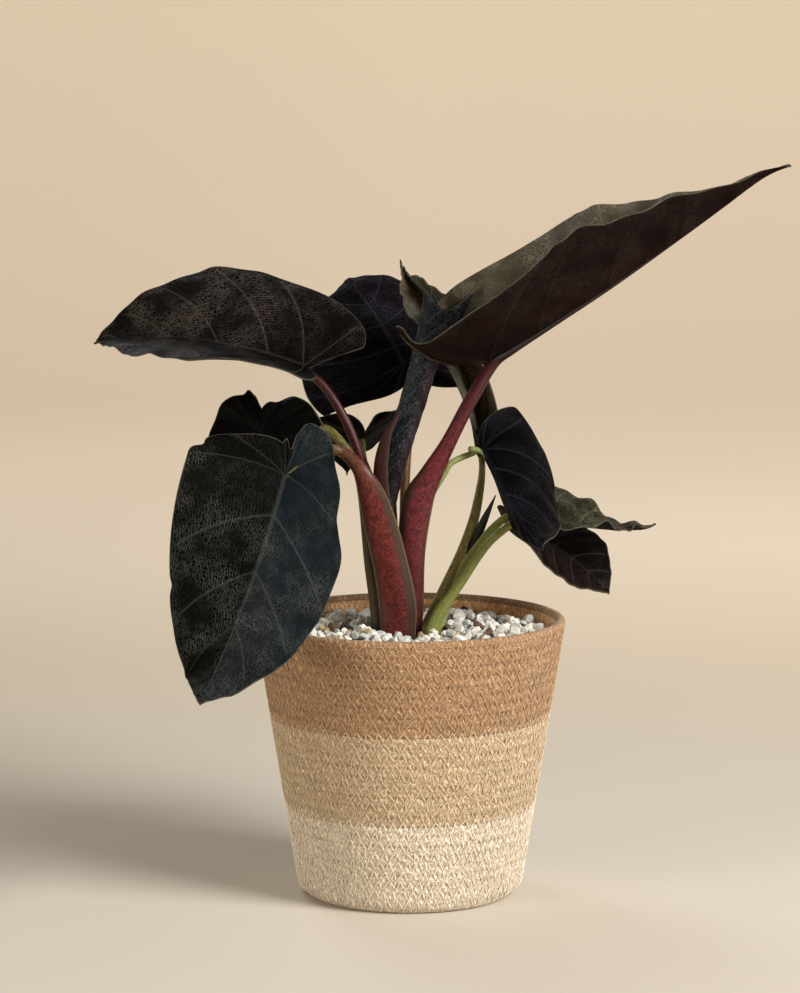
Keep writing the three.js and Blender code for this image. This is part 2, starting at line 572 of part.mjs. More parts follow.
function basketBands() {
  const { creamCoils, naturalCoils, coil, height, floor, coilDepth, around } = BASKET;
  const cream = band(0, creamCoils);
  cream.profile.push([outerRadius(cream.z1) - coilDepth, cream.z1]);
  cream.profile.push([innerRadius(cream.z1), cream.z1], [innerRadius(floor), floor], [0, floor], [0, 0]);
  const natural = band(creamCoils, naturalCoils);
  natural.profile.push([outerRadius(natural.z1) - coilDepth, natural.z1]);
  natural.profile.push([innerRadius(natural.z1), natural.z1], [innerRadius(natural.z0), natural.z0]);
  const first = creamCoils + naturalCoils;
  const tanCoils = Math.round((height - 6) / coil) - first;
  const tan = band(first, tanCoils);
  const rimLow = (first + tanCoils) * coil;
  const mid = (height + rimLow) / 2;
  const out = outerRadius(mid);
  tan.profile.push([outerRadius(rimLow) - coilDepth, rimLow], [out, rimLow + 2], [out, height - 3.2]);
  tan.profile.push([out - 1.6, height - 0.8], [out - 3, height], [out - 4.6, height - 0.6]);
  tan.profile.push([out - 6, height - 3]);
  tan.profile.push([innerRadius(rimLow), rimLow], [innerRadius(tan.z0), tan.z0]);
  return {
    basket_cream_coils: turned(cream.profile, around),
    basket_natural_coils: turned(natural.profile, around),
    basket_tan_coils: turned(tan.profile, around),
  };
}

function linerCup() {
  const out = (z) => innerRadius(z) - 0.5;
  const low = BASKET.floor + 0.3;
  const { wall, floor, top } = LINER;
  const outside = [[0, low], [out(low) - 1, low], [out(low + 3), low + 3], [out(top), top]];
  const inside = [[out(top) - wall, top], [out(low + floor) - wall - 1, low + floor], [0, low + floor]];
  return turned([...outside, ...inside], BASKET.around);
}

function soilBody() {
  const low = BASKET.floor + LINER.floor + 0.6;
  const r = (z) => innerRadius(z) - 0.5 - LINER.wall - 0.8;
  return turned([[0, low], [r(low) - 3, low], [r(SOIL_TOP), SOIL_TOP], [0, SOIL_TOP + 0.4]], BASKET.around);
}

// Pumice: angular stones on a thin bed, placed outwards along a sunflower spiral.
function pumice() {
  const random = seeded(PUMICE.seed);
  const reach = innerRadius(170) - GAP;
  const stones = [];
  for (let i = 0; i < PUMICE.count; i++) {
    const r = (reach - 3.5) * Math.sqrt((i + 0.5) / PUMICE.count);
    const angle = i * 2.399963 + (random() - 0.5) * 0.25;
    const size = mix(PUMICE.small, PUMICE.large, random() ** 1.4);
    const height = PUMICE.bed + size * (0.15 + 0.35 * random());
    stones.push(stone([r * Math.cos(angle), r * Math.sin(angle), height], size, random));
  }
  const low = PUMICE.bottom;
  const edge = (z) => innerRadius(z) - GAP;
  const filled = (top) => turned([[0, low], [edge(low), low], [edge(top), top], [0, top]], BASKET.around);
  const bed = filled(PUMICE.bed);
  const room = filled(PUMICE.roomTop);
  return Manifold.union([bed, ...stones]).intersect(room);
}

// One stone: a box with its corners pushed about, turned at random.
function stone(at, size, random) {
  const corners = [];
  const turn = random() * TAU;
  const tilt = (random() - 0.5) * 1.4;
  const [turnCos, turnSin] = [Math.cos(turn), Math.sin(turn)];
  const proportion = [mix(0.75, 1.15, random()), mix(0.65, 1, random()), mix(0.5, 0.8, random())];
  for (let k = 0; k < 8; k++) {
    const local = [k & 1 ? 1 : -1, k & 2 ? 1 : -1, k & 4 ? 1 : -1]
      .map((v, i) => v * size * 0.72 * proportion[i] * mix(0.62, 1.1, random()));
    const [c, s] = [Math.cos(tilt), Math.sin(tilt)];
    const [x, y, z] = [local[0] * c - local[2] * s, local[1], local[0] * s + local[2] * c];
    corners.push(add(at, [x * turnCos - y * turnSin, x * turnSin + y * turnCos, z]));
  }
  const box = [[0, 2, 3], [0, 3, 1], [4, 5, 7], [4, 7, 6], [0, 1, 5], [0, 5, 4], [2, 6, 7], [2, 7, 3],
    [0, 4, 6], [0, 6, 2], [1, 3, 7], [1, 7, 5]];
  return solid(corners, box);
}

const largest = (body) => body.decompose().sort((a, b) => b.volume() - a.volume())[0];

function youngStalkRoom() {
  const [x, y, a, b] = FEET.young_shoot;
  return tube([[x, y, STEM_FOOT, a, b], [x, y, 166, a, b], STALK[0]], 8, GAP);
}

function buildPart() {
  const solids = basketBands();
  solids.liner = linerCup();

  // Every stem keeps clear of those made before it, so the feet of the clump fit round each other.
  const rooms = [];
  const order = Object.keys(STEMS);
  for (const name of order) {
    let body = leafSolid(name);
    if (name === 'leaf_shoot_tall') body = body.add(tube(SPIKE, 8));
    for (const room of rooms) body = body.subtract(room);
    solids[name] = largest(body);
    rooms.push(stem(name, GAP));
  }
  let shoot = youngShoot();
  for (const room of rooms) shoot = shoot.subtract(room);
  solids.young_shoot = largest(shoot);
  rooms.push(youngStalkRoom());

  const holes = Manifold.union(rooms);
  solids.soil = largest(soilBody().subtract(holes));
  solids.pumice_topping = largest(pumice().subtract(holes));

  const colourOf = (name) => {
    if (name.startsWith('basket_')) return COLOURS[name.split('_')[1]];
    if (name === 'leaf_shoot_green') return COLOURS.leafGreen;
    if (name === 'leaf_shoot_tall') return COLOURS.leafOlive;
    if (name.startsWith('leaf_')) return COLOURS.leafDark;
    return COLOURS[name.split('_')[0]];
  };
  const group = new THREE.Group();
  for (const [name, body] of Object.entries(solids)) {
    const data = body.simplify(0.05).getMesh();
    const geometry = new THREE.BufferGeometry();
    geometry.setAttribute('position', new THREE.BufferAttribute(new Float32Array(data.vertProperties), 3));
    geometry.setIndex(new THREE.BufferAttribute(new Uint32Array(data.triVerts), 1));
    geometry.computeVertexNormals();
    const rough = name.startsWith('leaf_') || name === 'young_shoot' ? 0.42 : 0.9;
    const look = { color: colourOf(name), roughness: rough, metalness: 0 };
    const mesh = new THREE.Mesh(geometry, new THREE.MeshStandardMaterial(look));
    mesh.name = name;
    group.add(mesh);
  }
  return group;
}

export default buildPart();
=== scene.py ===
"""Potted velvet alocasia in a coiled basket: the looks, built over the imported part.

All lengths below are millimetres in the part's own frame (+Z up, -Y the front); a mesh gets
metres when it is written. Run as a script.
"""
import math

import bpy
import numpy as np
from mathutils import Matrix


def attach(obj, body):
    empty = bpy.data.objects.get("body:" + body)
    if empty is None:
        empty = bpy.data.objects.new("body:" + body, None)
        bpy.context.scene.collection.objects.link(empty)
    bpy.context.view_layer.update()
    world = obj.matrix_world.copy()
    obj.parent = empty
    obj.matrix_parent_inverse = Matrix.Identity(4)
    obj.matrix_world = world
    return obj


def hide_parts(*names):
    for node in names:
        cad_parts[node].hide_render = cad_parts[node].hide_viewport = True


bl_info = {
    "name": "Potted velvet alocasia",
    "version": (1, 0, 0),
    "blender": (4, 5, 0),
    "location": "View3D > Sidebar > Alocasia",
    "description": "Builds the leaves, stems, pumice and coiled basket over the packed part",
    "category": "Object",
}

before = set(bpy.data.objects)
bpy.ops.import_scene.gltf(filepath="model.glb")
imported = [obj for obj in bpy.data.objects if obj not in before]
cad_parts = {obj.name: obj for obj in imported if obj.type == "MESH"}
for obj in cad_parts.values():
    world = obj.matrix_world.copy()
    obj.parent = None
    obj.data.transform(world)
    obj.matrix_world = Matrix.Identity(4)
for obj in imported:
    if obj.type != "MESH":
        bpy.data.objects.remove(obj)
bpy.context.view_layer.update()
MM = 0.001
TAU = 2 * math.pi

# The plant's own shape, repeated from the part's source.
LOBE_TURN, LOBE_END, WIDEST = 0.4, 0.14, 0.36
RIBS = 7
STEM_FOOT, SOIL_TOP = 142.0, 166
# The keel under a blade: share of the blade's length, and thickness beside the stem's at its end.
KEEL = ((.07, .62), (.2, .42), (.42, .28), (.7, .12))
SPAN = 9  # rows of a stem between two given points

# A leaf's row: at, then the numbers that LEAF_KEYS names.
LEAF_KEYS = (
    "heading rise droop hook roll twist foldL foldR curlL curlR long wide lobe notch gape "
    "lobeHalf widestAt belly taper blunt wideL wideR lobeL lobeR lobeBendL lobeBendR "
    "wave waves phase phaseR").split()
LEAF_ROWS = {
    "leaf_upper_left": ((-69, 12, 343), 155, 17, -26, -12, -29, -24, 33, 30, 0, -35, 158, 62, 37,
                        5, .7, .47, .31, .53, .07, .02, .91, .97, .6, .85, 0, -7, 1.3, 4.4, -.1, 1),
    "leaf_front_left": ((-78.5, -62, 281), -114, -56, 19, 0, -33, 44, -45, -1, 5, 5, 174, 60, 38,
                        19, 0, .21, .04, .63, .07, .15, 1.02, 1.05, 1.13, .55, 0, 0,
                        -3, 3.8, .55, .8),
    "leaf_upper_right": ((51, 8, 347.5), -22, 30, 8, -25, 40, -28, 35, 59, 0, 0, 237, 60, 59,
                         5, .8, .73, .38, .22, .3, .05, 1, 1.1, .68, 1.24, -30, -84,
                         2.4, 4.1, 2.4, -.7),
    "leaf_upper_back": ((-4, 80, 339), 125, 45, -12, -30, -6, 0, -30, 10, 0, 0, 86, 66, 32,
                        12, 0, .63, .07, .63, -.02, .13, 1.03, .97, .78, 1.06, 45, -10,
                        1.5, 4, 0, 1),
    "leaf_low_back": ((-32, 42, 293), 102, -22, -18, 0, -6, 0, 20, 24, 0, 0, 60, 44, 27,
                      14, 0, .41, .15, .5, .3, 0, 1, .8, 1.15, 1.15, -58, -50, 1.2, 4, 0, 1),
    "leaf_behind_front_left": ((-96, 6, 299), -90, -73, -6, 0, 10, 0, 4, -5, 0, 0, 86, 44, 25,
                               17, 0, .44, .18, .5, .3, 0, 1, .86, 1, 1.05, -8, -3,
                               2.2, 5, 1, 1.3),
    "leaf_drooping_right": ((47, 5, 289), -62, -45, 19, 0, 22, -33, -6, -108, -43, 0, 96, 46, 29,
                            8, 0, .54, .23, .59, .21, .09, 1.16, .5, 1.05, .8, -40, 0,
                            .8, 4, 0, 1),
    "leaf_shoot_tall": ((47, 65, 285.4), 161, 84, -42, 40, -60, -25, 74, 65, 0, 0, 137, 36, 14,
                        4, 0, .4, .68, .53, .32, -.03, 1.07, .91, .5, 1, 0, 0, 1, 4, 0, 1),
    "leaf_shoot_lower": ((88, 54, 224), -15, -28, -19, 0, 20, 22, -9, 22, 0, 0, 58, 44, 33,
                         6, 0, .5, .22, .52, .13, .12, 1.01, .99, 1, 1.08, 0, -37, .8, 4, 0, 1),
    "leaf_shoot_green": ((78, 30, 248), 18, -25, 29, 30, 17, -33, 23, 4, 0, 10, 93, 46, 16,
                         5, 0, .5, .14, .63, .18, 0, 1.04, .55, 1, 1, 0, 0, 3, 3.8, 0, 1.3),
}
LEAVES = {name: dict(zip(LEAF_KEYS, row[1:]), at=np.array(row[0], float), name=name)
          for name, row in LEAF_ROWS.items()}

# Small peaks (and one nick) of a margin: side, rib, width in ribs, and how far it stands out in mm.
MARGIN_BUMPS = {
    "leaf_front_left": ((-1, .065, .018, 4.5), (-1, .035, .012, -1.5), (1, .03, .012, 2),
                        (-1, .30, .016, -3.5), (-1, .56, .014, -1.5), (-1, .78, .015, 1.2)),
    "leaf_behind_front_left": ((1, .1, .03, -3), (-1, .085, .022, 6), (-1, .05, .015, 3)),
    "leaf_upper_left": ((-1, .5, .02, 1), (1, .6, .02, 1.2)),
}

# Where each stem enters the soil: x, y, half width, half depth. Then its way up to the junction.
FEET = {
    "leaf_front_left": (-8, -8, 11.5, 5), "leaf_upper_right": (-1, 3, 9, 4.2),
    "leaf_behind_front_left": (-20, 2, 5.5, 4.5), "leaf_upper_left": (-14.5, 18, 4, 4),
    "leaf_upper_back": (-5.5, 20, 3.8, 3.8), "leaf_low_back": (-19, 26, 3, 3),
    "leaf_drooping_right": (0, 12, 3, 3), "young_shoot": (-9, 9.5, 4.2, 3.6),
    "leaf_shoot_tall": (9, 8, 6.5, 5), "leaf_shoot_lower": (12, -6, 4.4, 3.6),
    "leaf_shoot_green": (18, 2, 3.4, 3.2),
}
STEMS = {
    "leaf_front_left": [
        (-8, -8, 189, 11.5, 5), (-13, -9, 218, 10.5, 4.6), (-19, -11, 242, 10, 4.2),
        (-25, -14, 263, 8.2, 4), (-31, -16, 277, 5.4, 3.8), (-40, -13, 287.5, 3.9, 3.6),
        (-48, -14, 291.5, 3.4, 3.3), (-57, -23, 292.5, 3.2, 3.1), (-65, -34.5, 291, 3.1, 3),
        (-72, -47, 287, 2.9, 2.9)],
    "leaf_upper_right": [
        (0, 2.5, 191, 8.5, 4.2), (1, 2, 224, 8.5, 4.2), (5, 2.5, 255, 9.5, 4.2),
        (13, 4, 272, 7.5, 4.2), (25, 5, 294, 5, 4.4), (39, 6.5, 321, 4.4, 4.4)],
    "leaf_behind_front_left": [
        (-21, 2, 187, 5.2, 4.4), (-25, 1, 216, 4.8, 4.2), (-30, -3, 262, 4, 3.8),
        (-36, -6, 282, 3.4, 3.4), (-50, -2, 301, 2.8, 2.8), (-63, 5, 304, 2.6, 2.6),
        (-80, 13, 302, 2.5, 2.5)],
    "leaf_upper_left": [
        (-17, 18, 190, 3.8, 3.8), (-21, 17, 225, 3.6, 3.6), (-22.5, 15.5, 248, 3.4, 3.4),
        (-26, 13, 268, 3.2, 3.2), (-33, 11, 286, 3.1, 3.1), (-42, 11, 308, 3, 3),
        (-55, 12, 329, 2.9, 2.9)],
    "leaf_upper_back": [
        (-4, 25, 214, 3.4, 3.4), (-3, 46, 265, 3.2, 3.2), (-.5, 66, 302, 3, 3),
        (-2, 76, 327, 2.8, 2.8)],
    "leaf_low_back": [(-20, 25, 214, 2.8, 2.8), (-26, 32, 253, 2.6, 2.6), (-31, 40, 282, 2.4, 2.4)],
    "leaf_drooping_right": [
        (1, 12.5, 190, 2.9, 2.9), (3, 13, 222, 2.8, 2.8), (12, 14, 254, 2.4, 2.4),
        (22, 13.5, 272, 2.1, 2.1), (29, 12, 284, 2, 2), (38, 10, 289, 1.9, 1.9)],
    "leaf_shoot_tall": [
        (14, 9, 174, 6.2, 5), (24, 13, 196, 5.2, 4.8), (34, 21, 218, 4.2, 4.2),
        (41, 29, 237, 3.5, 3.5), (45, 40, 252, 3, 3), (48, 55, 270, 2.2, 2.2)],
    "leaf_shoot_lower": [
        (18, -5, 182, 4, 3.4), (32, -1, 202, 3.2, 3.2), (49, 4, 226, 2.7, 2.7),
        (62, 10, 237, 2.6, 2.6), (73, 22, 242, 2.5, 2.5), (83, 42, 235, 2.2, 2.2)],
    "leaf_shoot_green": [
        (21, 3, 181, 3.2, 3), (29, 6, 198, 2.9, 2.9), (37, 9, 215, 2.7, 2.7),
        (46, 13, 227, 2.7, 2.7), (53, 16, 235, 2.7, 2.7), (63, 20, 243, 2.6, 2.6)],
}
# Sheaths: height of the upper end, and the share of the half width where the dark band along the
# left and the right edge begins.
SHEATHS = {"leaf_front_left": (275, .78, .5), "leaf_upper_right": (275, .5, .84)}
ROLL = np.array([
    (-14, 9, 252, 5, 4.2), (-10, 10, 279, 8.8, 5.6), (-5, 12, 297, 9.6, 6.2), (2, 14, 318, 9.6, 6.2),
    (8.5, 15, 340, 10, 6.2), (16, 16, 361, 12.5, 6.4), (23, 17, 380, 16, 6.8),
    (27, 18, 392, 18.5, 7)], float)
ROLL_STALK = [(-10.5, 9.5, 216, 4.4, 3.8), (-13, 9, 245, 4.8, 4), (-13.5, 9.2, 260, 4.4, 3.6),
              (-12, 9.6, 270, 2, 1.8)]
BRACT = [(-13, 7, 214, 2.5, 1.2), (-17, 2.5, 250, 4.6, 1.3), (-19, 1.5, 270, 4.8, 1.3),
         (-18, 2, 286, 4.2, 1.2), (-14, 3, 301, 2.6, 1), (-6, 6, 314, .4, .4)]
SPIKE = [(31, 19, 209, 2, 2), (41, 21, 224, 3.2, 3), (48, 20, 240, 2.6, 2.2), (56, 18, 258, .3, .3)]

# How each blade looks: colours of the left and right halves above, the underside, the veins,
# how far the tissue swells between veins (mm), how strong the pale net is, and the grid's fineness.
# Where the two halves above differ, the lighter or bluer one holds painted sheen, as the blue-grey
# left half of leaf_front_left; the pale net is partly painted highlight.
BLADE_LOOKS = {
    "leaf_upper_left": ("#040404", "#0c0808", "#160b0c", "#958b82", 1.1, .95, 210),
    "leaf_front_left": ("#10191e", "#050603", "#120a0a", "#73756c", 1.0, .85, 210),
    "leaf_upper_right": ("#5a5544", "#38362d", "#1a100f", "#b0a996", 1.5, 2.0, 210),
    "leaf_upper_back": ("#08080c", "#0a0910", "#0d090c", "#6d6a7c", 1.0, .7, 154),
    "leaf_low_back": ("#070705", "#080705", "#0e0a07", "#3f3c32", .6, .3, 98),
    "leaf_behind_front_left": ("#020302", "#030302", "#060504", "#24261f", .7, .3, 98),
    "leaf_drooping_right": ("#020203", "#030202", "#060404", "#4c4b62", .9, .6, 126),
    "leaf_shoot_tall": ("#504d3f", "#464536", "#33302a", "#b8b4a0", .8, 2.0, 126),
    "leaf_shoot_lower": ("#080404", "#0b0505", "#090504", "#6b5c58", .6, .4, 98),
    "leaf_shoot_green": ("#14180b", "#121508", "#12100b", "#a39f7c", .8, 2.2, 126),
}
# Stem colours: outer face, sheath edge, blotches, and the outer face near the blade.
STEM_LOOKS = {
    "leaf_front_left": ("#6b2824", "#33261a", "#2d0a0c", "#5a5c32"),
    "leaf_upper_right": ("#662429", "#33241a", "#27080d", "#2a0b0b"),
    "leaf_behind_front_left": ("#453823", "#3a3020", "#2a2114", "#6e6a38"),
    "leaf_upper_left": ("#571e20", "#331312", "#200608", "#3a1213"),
    "leaf_upper_back": ("#7a5a34", "#6a5030", "#4a2f1c", "#8a5f34"),
    "leaf_low_back": ("#7d8242", "#69703a", "#585c30", "#7d8242"),
    "leaf_drooping_right": ("#969a62", "#848a52", "#6c7044", "#8b9560"),
    "leaf_shoot_tall": ("#a59c68", "#7a6c44", "#645e36", "#a3976a"),
    "leaf_shoot_lower": ("#868c4c", "#767a44", "#5b6230", "#8b9050"),
    "leaf_shoot_green": ("#8d9652", "#7b824c", "#646a38", "#8d9652"),
}
STALK_LOOKS = ("#3c1819", "#341c19", "#22090b")
LEAF_SLOT = {"leaf_shoot_tall": "leaf_green", "leaf_shoot_green": "leaf_green"}


# Small helpers

def linear(text):
    """Linear red, green, blue and 1 from a hexadecimal colour."""
    value = np.array([int(text[i:i + 2], 16) for i in (1, 3, 5)]) / 255
    value = np.where(value <= .04045, value / 12.92, ((value + .055) / 1.055) ** 2.4)
    return (*value.tolist(), 1.0)


def clip01(v):
    """Each value held between 0 and 1."""
    return np.clip(v, 0, 1)


def smoothstep(low, high, v):
    """0 at low, 1 at high and t^2 (3 - 2t) between; low may be the larger."""
    t = clip01((v - low) / (high - low))
    return t * t * (3 - 2 * t)


def unit(v):
    """Vectors along the last axis, scaled to length 1."""
    return v / np.maximum(np.linalg.norm(v, axis=-1, keepdims=True), 1e-12)


def swell(u, v, seed, waves=7):
    """Smooth unevenness in -1..1: the mean of sines sin(a u + b v + c) with random a, b and c."""
    random = np.random.default_rng(seed)
    a, b = random.normal(0, 1, (2, waves))
    c = random.uniform(0, TAU, waves)
    total = sum(np.sin(a[k] * u + b[k] * v + c[k]) for k in range(waves))
    return total / math.sqrt(waves * 1.2)


def grid_faces(rows, columns, flip=False):
    """The quads of a grid of points, numbered row by row."""
    i, k = np.meshgrid(np.arange(rows - 1), np.arange(columns - 1), indexing="ij")
    a = (i * columns + k).ravel()
    corners = [a, a + 1, a + columns + 1, a + columns]
    return np.stack(corners[::-1] if flip else corners, 1)


def welded(points):
    """Joins points that fall in the same 2-micron cell. Returns the kept points' numbers and, for
    each point, its number among them."""
    key = np.round(points / 2e-3).astype(np.int64)
    _, first, inverse = np.unique(key, axis=0, return_index=True, return_inverse=True)
    return first, inverse.reshape(-1)


def write_mesh(name, points, quads, material, uvs=None, values=None, colours=None, smooth=True,
               corner=None):
    """A mesh object from points in millimetres and quads. A quad with two equal corners becomes a
    triangle and one with fewer than three different corners is left out. uvs hold one pair for
    each row of corner, which is the quads' numbering before points were joined."""
    corner = quads if corner is None else corner
    keep = quads != np.roll(quads, 1, axis=1)
    sides = keep.sum(1)
    rows = sides >= 3
    keep = keep[rows]
    loops = quads[rows][keep]
    corners = corner[rows][keep]
    sizes = keep.sum(1)
    starts = np.concatenate([[0], np.cumsum(sizes)[:-1]])
    mesh = bpy.data.meshes.new(name)
    mesh.vertices.add(len(points))
    mesh.vertices.foreach_set("co", (np.asarray(points) * MM).astype(np.float32).ravel())
    mesh.loops.add(len(loops))
    mesh.loops.foreach_set("vertex_index", loops.astype(np.int32))
    mesh.polygons.add(len(starts))
    mesh.polygons.foreach_set("loop_start", starts.astype(np.int32))
    mesh.update(calc_edges=True)
    mesh.validate()
    mesh.polygons.foreach_set("use_smooth", np.full(len(mesh.polygons), smooth))
    for label, pair in (uvs or {}).items():
        layer = mesh.uv_layers.new(name=label)
        layer.data.foreach_set("uv", pair[corners].astype(np.float32).ravel())
    for label, value in (values or {}).items():
        layer = mesh.attributes.new(label, "FLOAT", "POINT")
        layer.data.foreach_set("value", value.astype(np.float32))
    for label, value in (colours or {}).items():
        layer = mesh.attributes.new(label, "FLOAT_COLOR", "POINT")
        full = np.concatenate([value[:, :3], np.ones((len(value), 1))], 1)
        layer.data.foreach_set("color", full.astype(np.float32).ravel())
    mesh.materials.append(material)
    mesh.update()
    piece = bpy.data.objects.new(name, mesh)
    bpy.context.scene.collection.objects.link(piece)
    return piece


def finish_piece(piece, slot, *nodes):
    """Puts a piece on the root body and hides the imported nodes that it stands for; slot is not used."""
    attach(piece, "root")
    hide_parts(*nodes)


def closed_surface(name, grid, material, uvs=None, values=None, colours=None, smooth=True):
    """A surface from a grid of points whose first and last columns, and whose equal points, join."""
    rows, columns = grid.shape[:2]
    points = grid.reshape(-1, 3)
    corner = grid_faces(rows, columns)
    first, inverse = welded(points)
    take = lambda table, width: {k: v.reshape(-1, *width)[first] for k, v in (table or {}).items()}
    pairs = {k: v.reshape(-1, 2) for k, v in (uvs or {}).items()}
    return write_mesh(name, points[first], inverse[corner], material, pairs, take(values, ()),
                      take(colours, (3,)), smooth, corner)


# Leaves

def bezier(p, u):
    """Points of a cubic curve through the first and last of four points, at shares u of its way."""
    v = 1 - u
    p = [np.array(q, float) for q in p]
    return (v ** 3)[..., None] * p[0] + (3 * v * v * u)[..., None] * p[1] \
        + (3 * v * u * u)[..., None] * p[2] + (u ** 3)[..., None] * p[3]


def outline(leaf, side, q):
    """Half of the flat outline from the notch (q 0) round the lobe to the tip (q 1): three cubic
    curves that meet at the lobe's end and at the widest place."""
    wide = leaf["wide"] * leaf["wideL" if side > 0 else "wideR"]
    lobe = leaf["lobe"] * leaf["lobeL" if side > 0 else "lobeR"]
    half, at = leaf["lobeHalf"] * wide, leaf["widestAt"] * leaf["long"]
    gape, notch = leaf["gape"], leaf["notch"]
    reach, run = lobe - notch, leaf["long"] - at
    lobe_end, widest = (-lobe, half), (at, wide)
    inner = bezier([(-notch, 0), (-notch - .55 * reach * (1 - .5 * gape), (.12 + .5 * gape) * half),
                    (-lobe, (.5 + .4 * gape) * half), lobe_end], clip01(q / LOBE_END))
    outer = bezier([lobe_end, (-lobe, half + .55 * (wide - half)), (at - .55 * (at + lobe), wide),
                    widest], clip01((q - LOBE_END) / (WIDEST - LOBE_END)))
    tip = bezier([widest, (at + leaf["belly"] * run, wide),
                  (leaf["long"] - leaf["taper"] * run, leaf["blunt"] * wide), (leaf["long"], 0)],
                 clip01((q - WIDEST) / (1 - WIDEST)))
    q = q[..., None]
    return np.where(q <= LOBE_END, inner, np.where(q <= WIDEST, outer, tip))


def midrib(leaf, side):
    """The midrib in space as a function of the distance x along it: its place is the integral of
    its direction, whose slope and turn change along the leaf; behind the junction it bends with
    the lobe of that side."""
    heading = math.radians(leaf["heading"])
    bend = leaf["lobeBendL" if side > 0 else "lobeBendR"]
    low, steps = -1.6 * leaf["lobe"], 500
    dx = (leaf["long"] - low) / steps
    level = np.array([-math.sin(heading), math.cos(heading), 0.0])

    def directions(x):
        u = clip01(x / leaf["long"])
        back = np.clip((-x - leaf["notch"]) / (leaf["lobe"] - leaf["notch"]), 0, 1.3)
        slope = np.radians(leaf["rise"] + leaf["droop"] * u
                           + leaf["hook"] * clip01((u - .86) / .14) ** 1.5 + bend * back)
        turn = np.radians(leaf["roll"] + leaf["twist"] * u)[..., None]
        along = np.stack([np.cos(slope) * math.cos(heading), np.cos(slope) * math.sin(heading),
                          np.sin(slope)], -1)
        over = np.cross(along, np.broadcast_to(level, along.shape))
        sine, cosine = np.sin(turn), np.cos(turn)
        return along, level * cosine + over * sine, over * cosine - level * sine

    middles = low + dx * (np.arange(steps) + .5)
    xs = low + dx * np.arange(steps + 1)
    places = np.concatenate([np.zeros((1, 3)), np.cumsum(directions(middles)[0] * dx, 0)])
    zero = np.array([np.interp(0, xs, places[:, k]) for k in range(3)])

    def rib(x):
        place = np.stack([np.interp(x, xs, places[:, k]) for k in range(3)], -1)
        along, across, up = directions(x)
        return leaf["at"] + place - zero, along, across, up

    return rib


def half_blade(leaf, side, s, t):
    """The middle surface of one half at rib s and share t of the way from the midrib to the margin.
    The flat point root(s) + (outline(s) - root(s)) t, bowed by 0.32 t (1 - t), is folded and curled
    about the midrib and rippled by wave t^2 sin(2 pi waves s). Returns points, flat x and y, and
    the ribs' length."""
    long = leaf["long"]
    root = np.maximum(long * (s - LOBE_TURN) / (1 - LOBE_TURN), 0)
    end = outline(leaf, side, s)
    cx, cy = end[..., 0] - root, end[..., 1]
    length = np.maximum(np.hypot(cx, cy), 1e-9)
    bow = .32 * t * (1 - t) * clip01((s - .1) / .3)
    x = root + cx * t - cy * bow
    y = np.maximum(cy * t + cx * bow, 0)
    for where, middle, width, amount in MARGIN_BUMPS.get(leaf["name"], ()):
        if where == side:
            push = amount * np.exp(-((s - middle) / width) ** 2) * t ** 4 / length
            x, y = x + cx * push, np.maximum(y + cy * push, 0)
    fold = math.radians(leaf["foldL" if side > 0 else "foldR"])
    curl = math.radians(leaf["curlL" if side > 0 else "curlR"]) / leaf["wide"]
    half_turn = curl * y / 2
    run = y * np.sinc(half_turn / math.pi)
    lean = fold + curl * y
    place, _, across, up = midrib(leaf, side)(x)
    phase = leaf["phase"] + (0 if side > 0 else leaf["phaseR"])
    ripple = np.sin(TAU * leaf["waves"] * s + phase) \
        + .5 * np.sin(TAU * leaf["waves"] * 2.3 * s + 2.1 * phase)
    size = leaf["wave"] * t * t * clip01(length / (.6 * leaf["wide"]))
    size = size * clip01(s / .08) * clip01((1 - s) / .05)
    out = (run * np.cos(fold + half_turn))[..., None]
    high = (run * np.sin(fold + half_turn))[..., None]
    normal = -side * across * np.sin(lean)[..., None] + up * np.cos(lean)[..., None]
    return place + side * across * out + up * high + normal * (size * ripple)[..., None], x, y, length


def thickened(points, quads, above, below):
    """A closed shell about a middle surface: two skins set off along the mean normal by above and
    below, and a wall along every edge that only one face has."""
    triangles = np.concatenate([quads[:, [0, 1, 2]], quads[:, [0, 2, 3]]])
    flat = np.cross(points[triangles[:, 1]] - points[triangles[:, 0]],
                    points[triangles[:, 2]] - points[triangles[:, 0]])
    normals = np.zeros_like(points)
    for k in range(3):
        np.add.at(normals, triangles[:, k], flat)
    normals = unit(normals)
    n = len(points)
    shell = np.concatenate([points + normals * above[:, None], points - normals * below[:, None]])
    edges = np.concatenate([quads[:, [k, (k + 1) % 4]] for k in range(4)])
    edges = edges[edges[:, 0] != edges[:, 1]]
    code = edges.min(1) * (n + 1) + edges.max(1)
    _, where, count = np.unique(code, return_index=True, return_counts=True)
    rim = edges[where[count == 1]]
    wall = np.stack([rim[:, 1], rim[:, 0], rim[:, 0] + n, rim[:, 1] + n], 1)
    return shell, np.concatenate([quads, quads[:, ::-1] + n, wall])


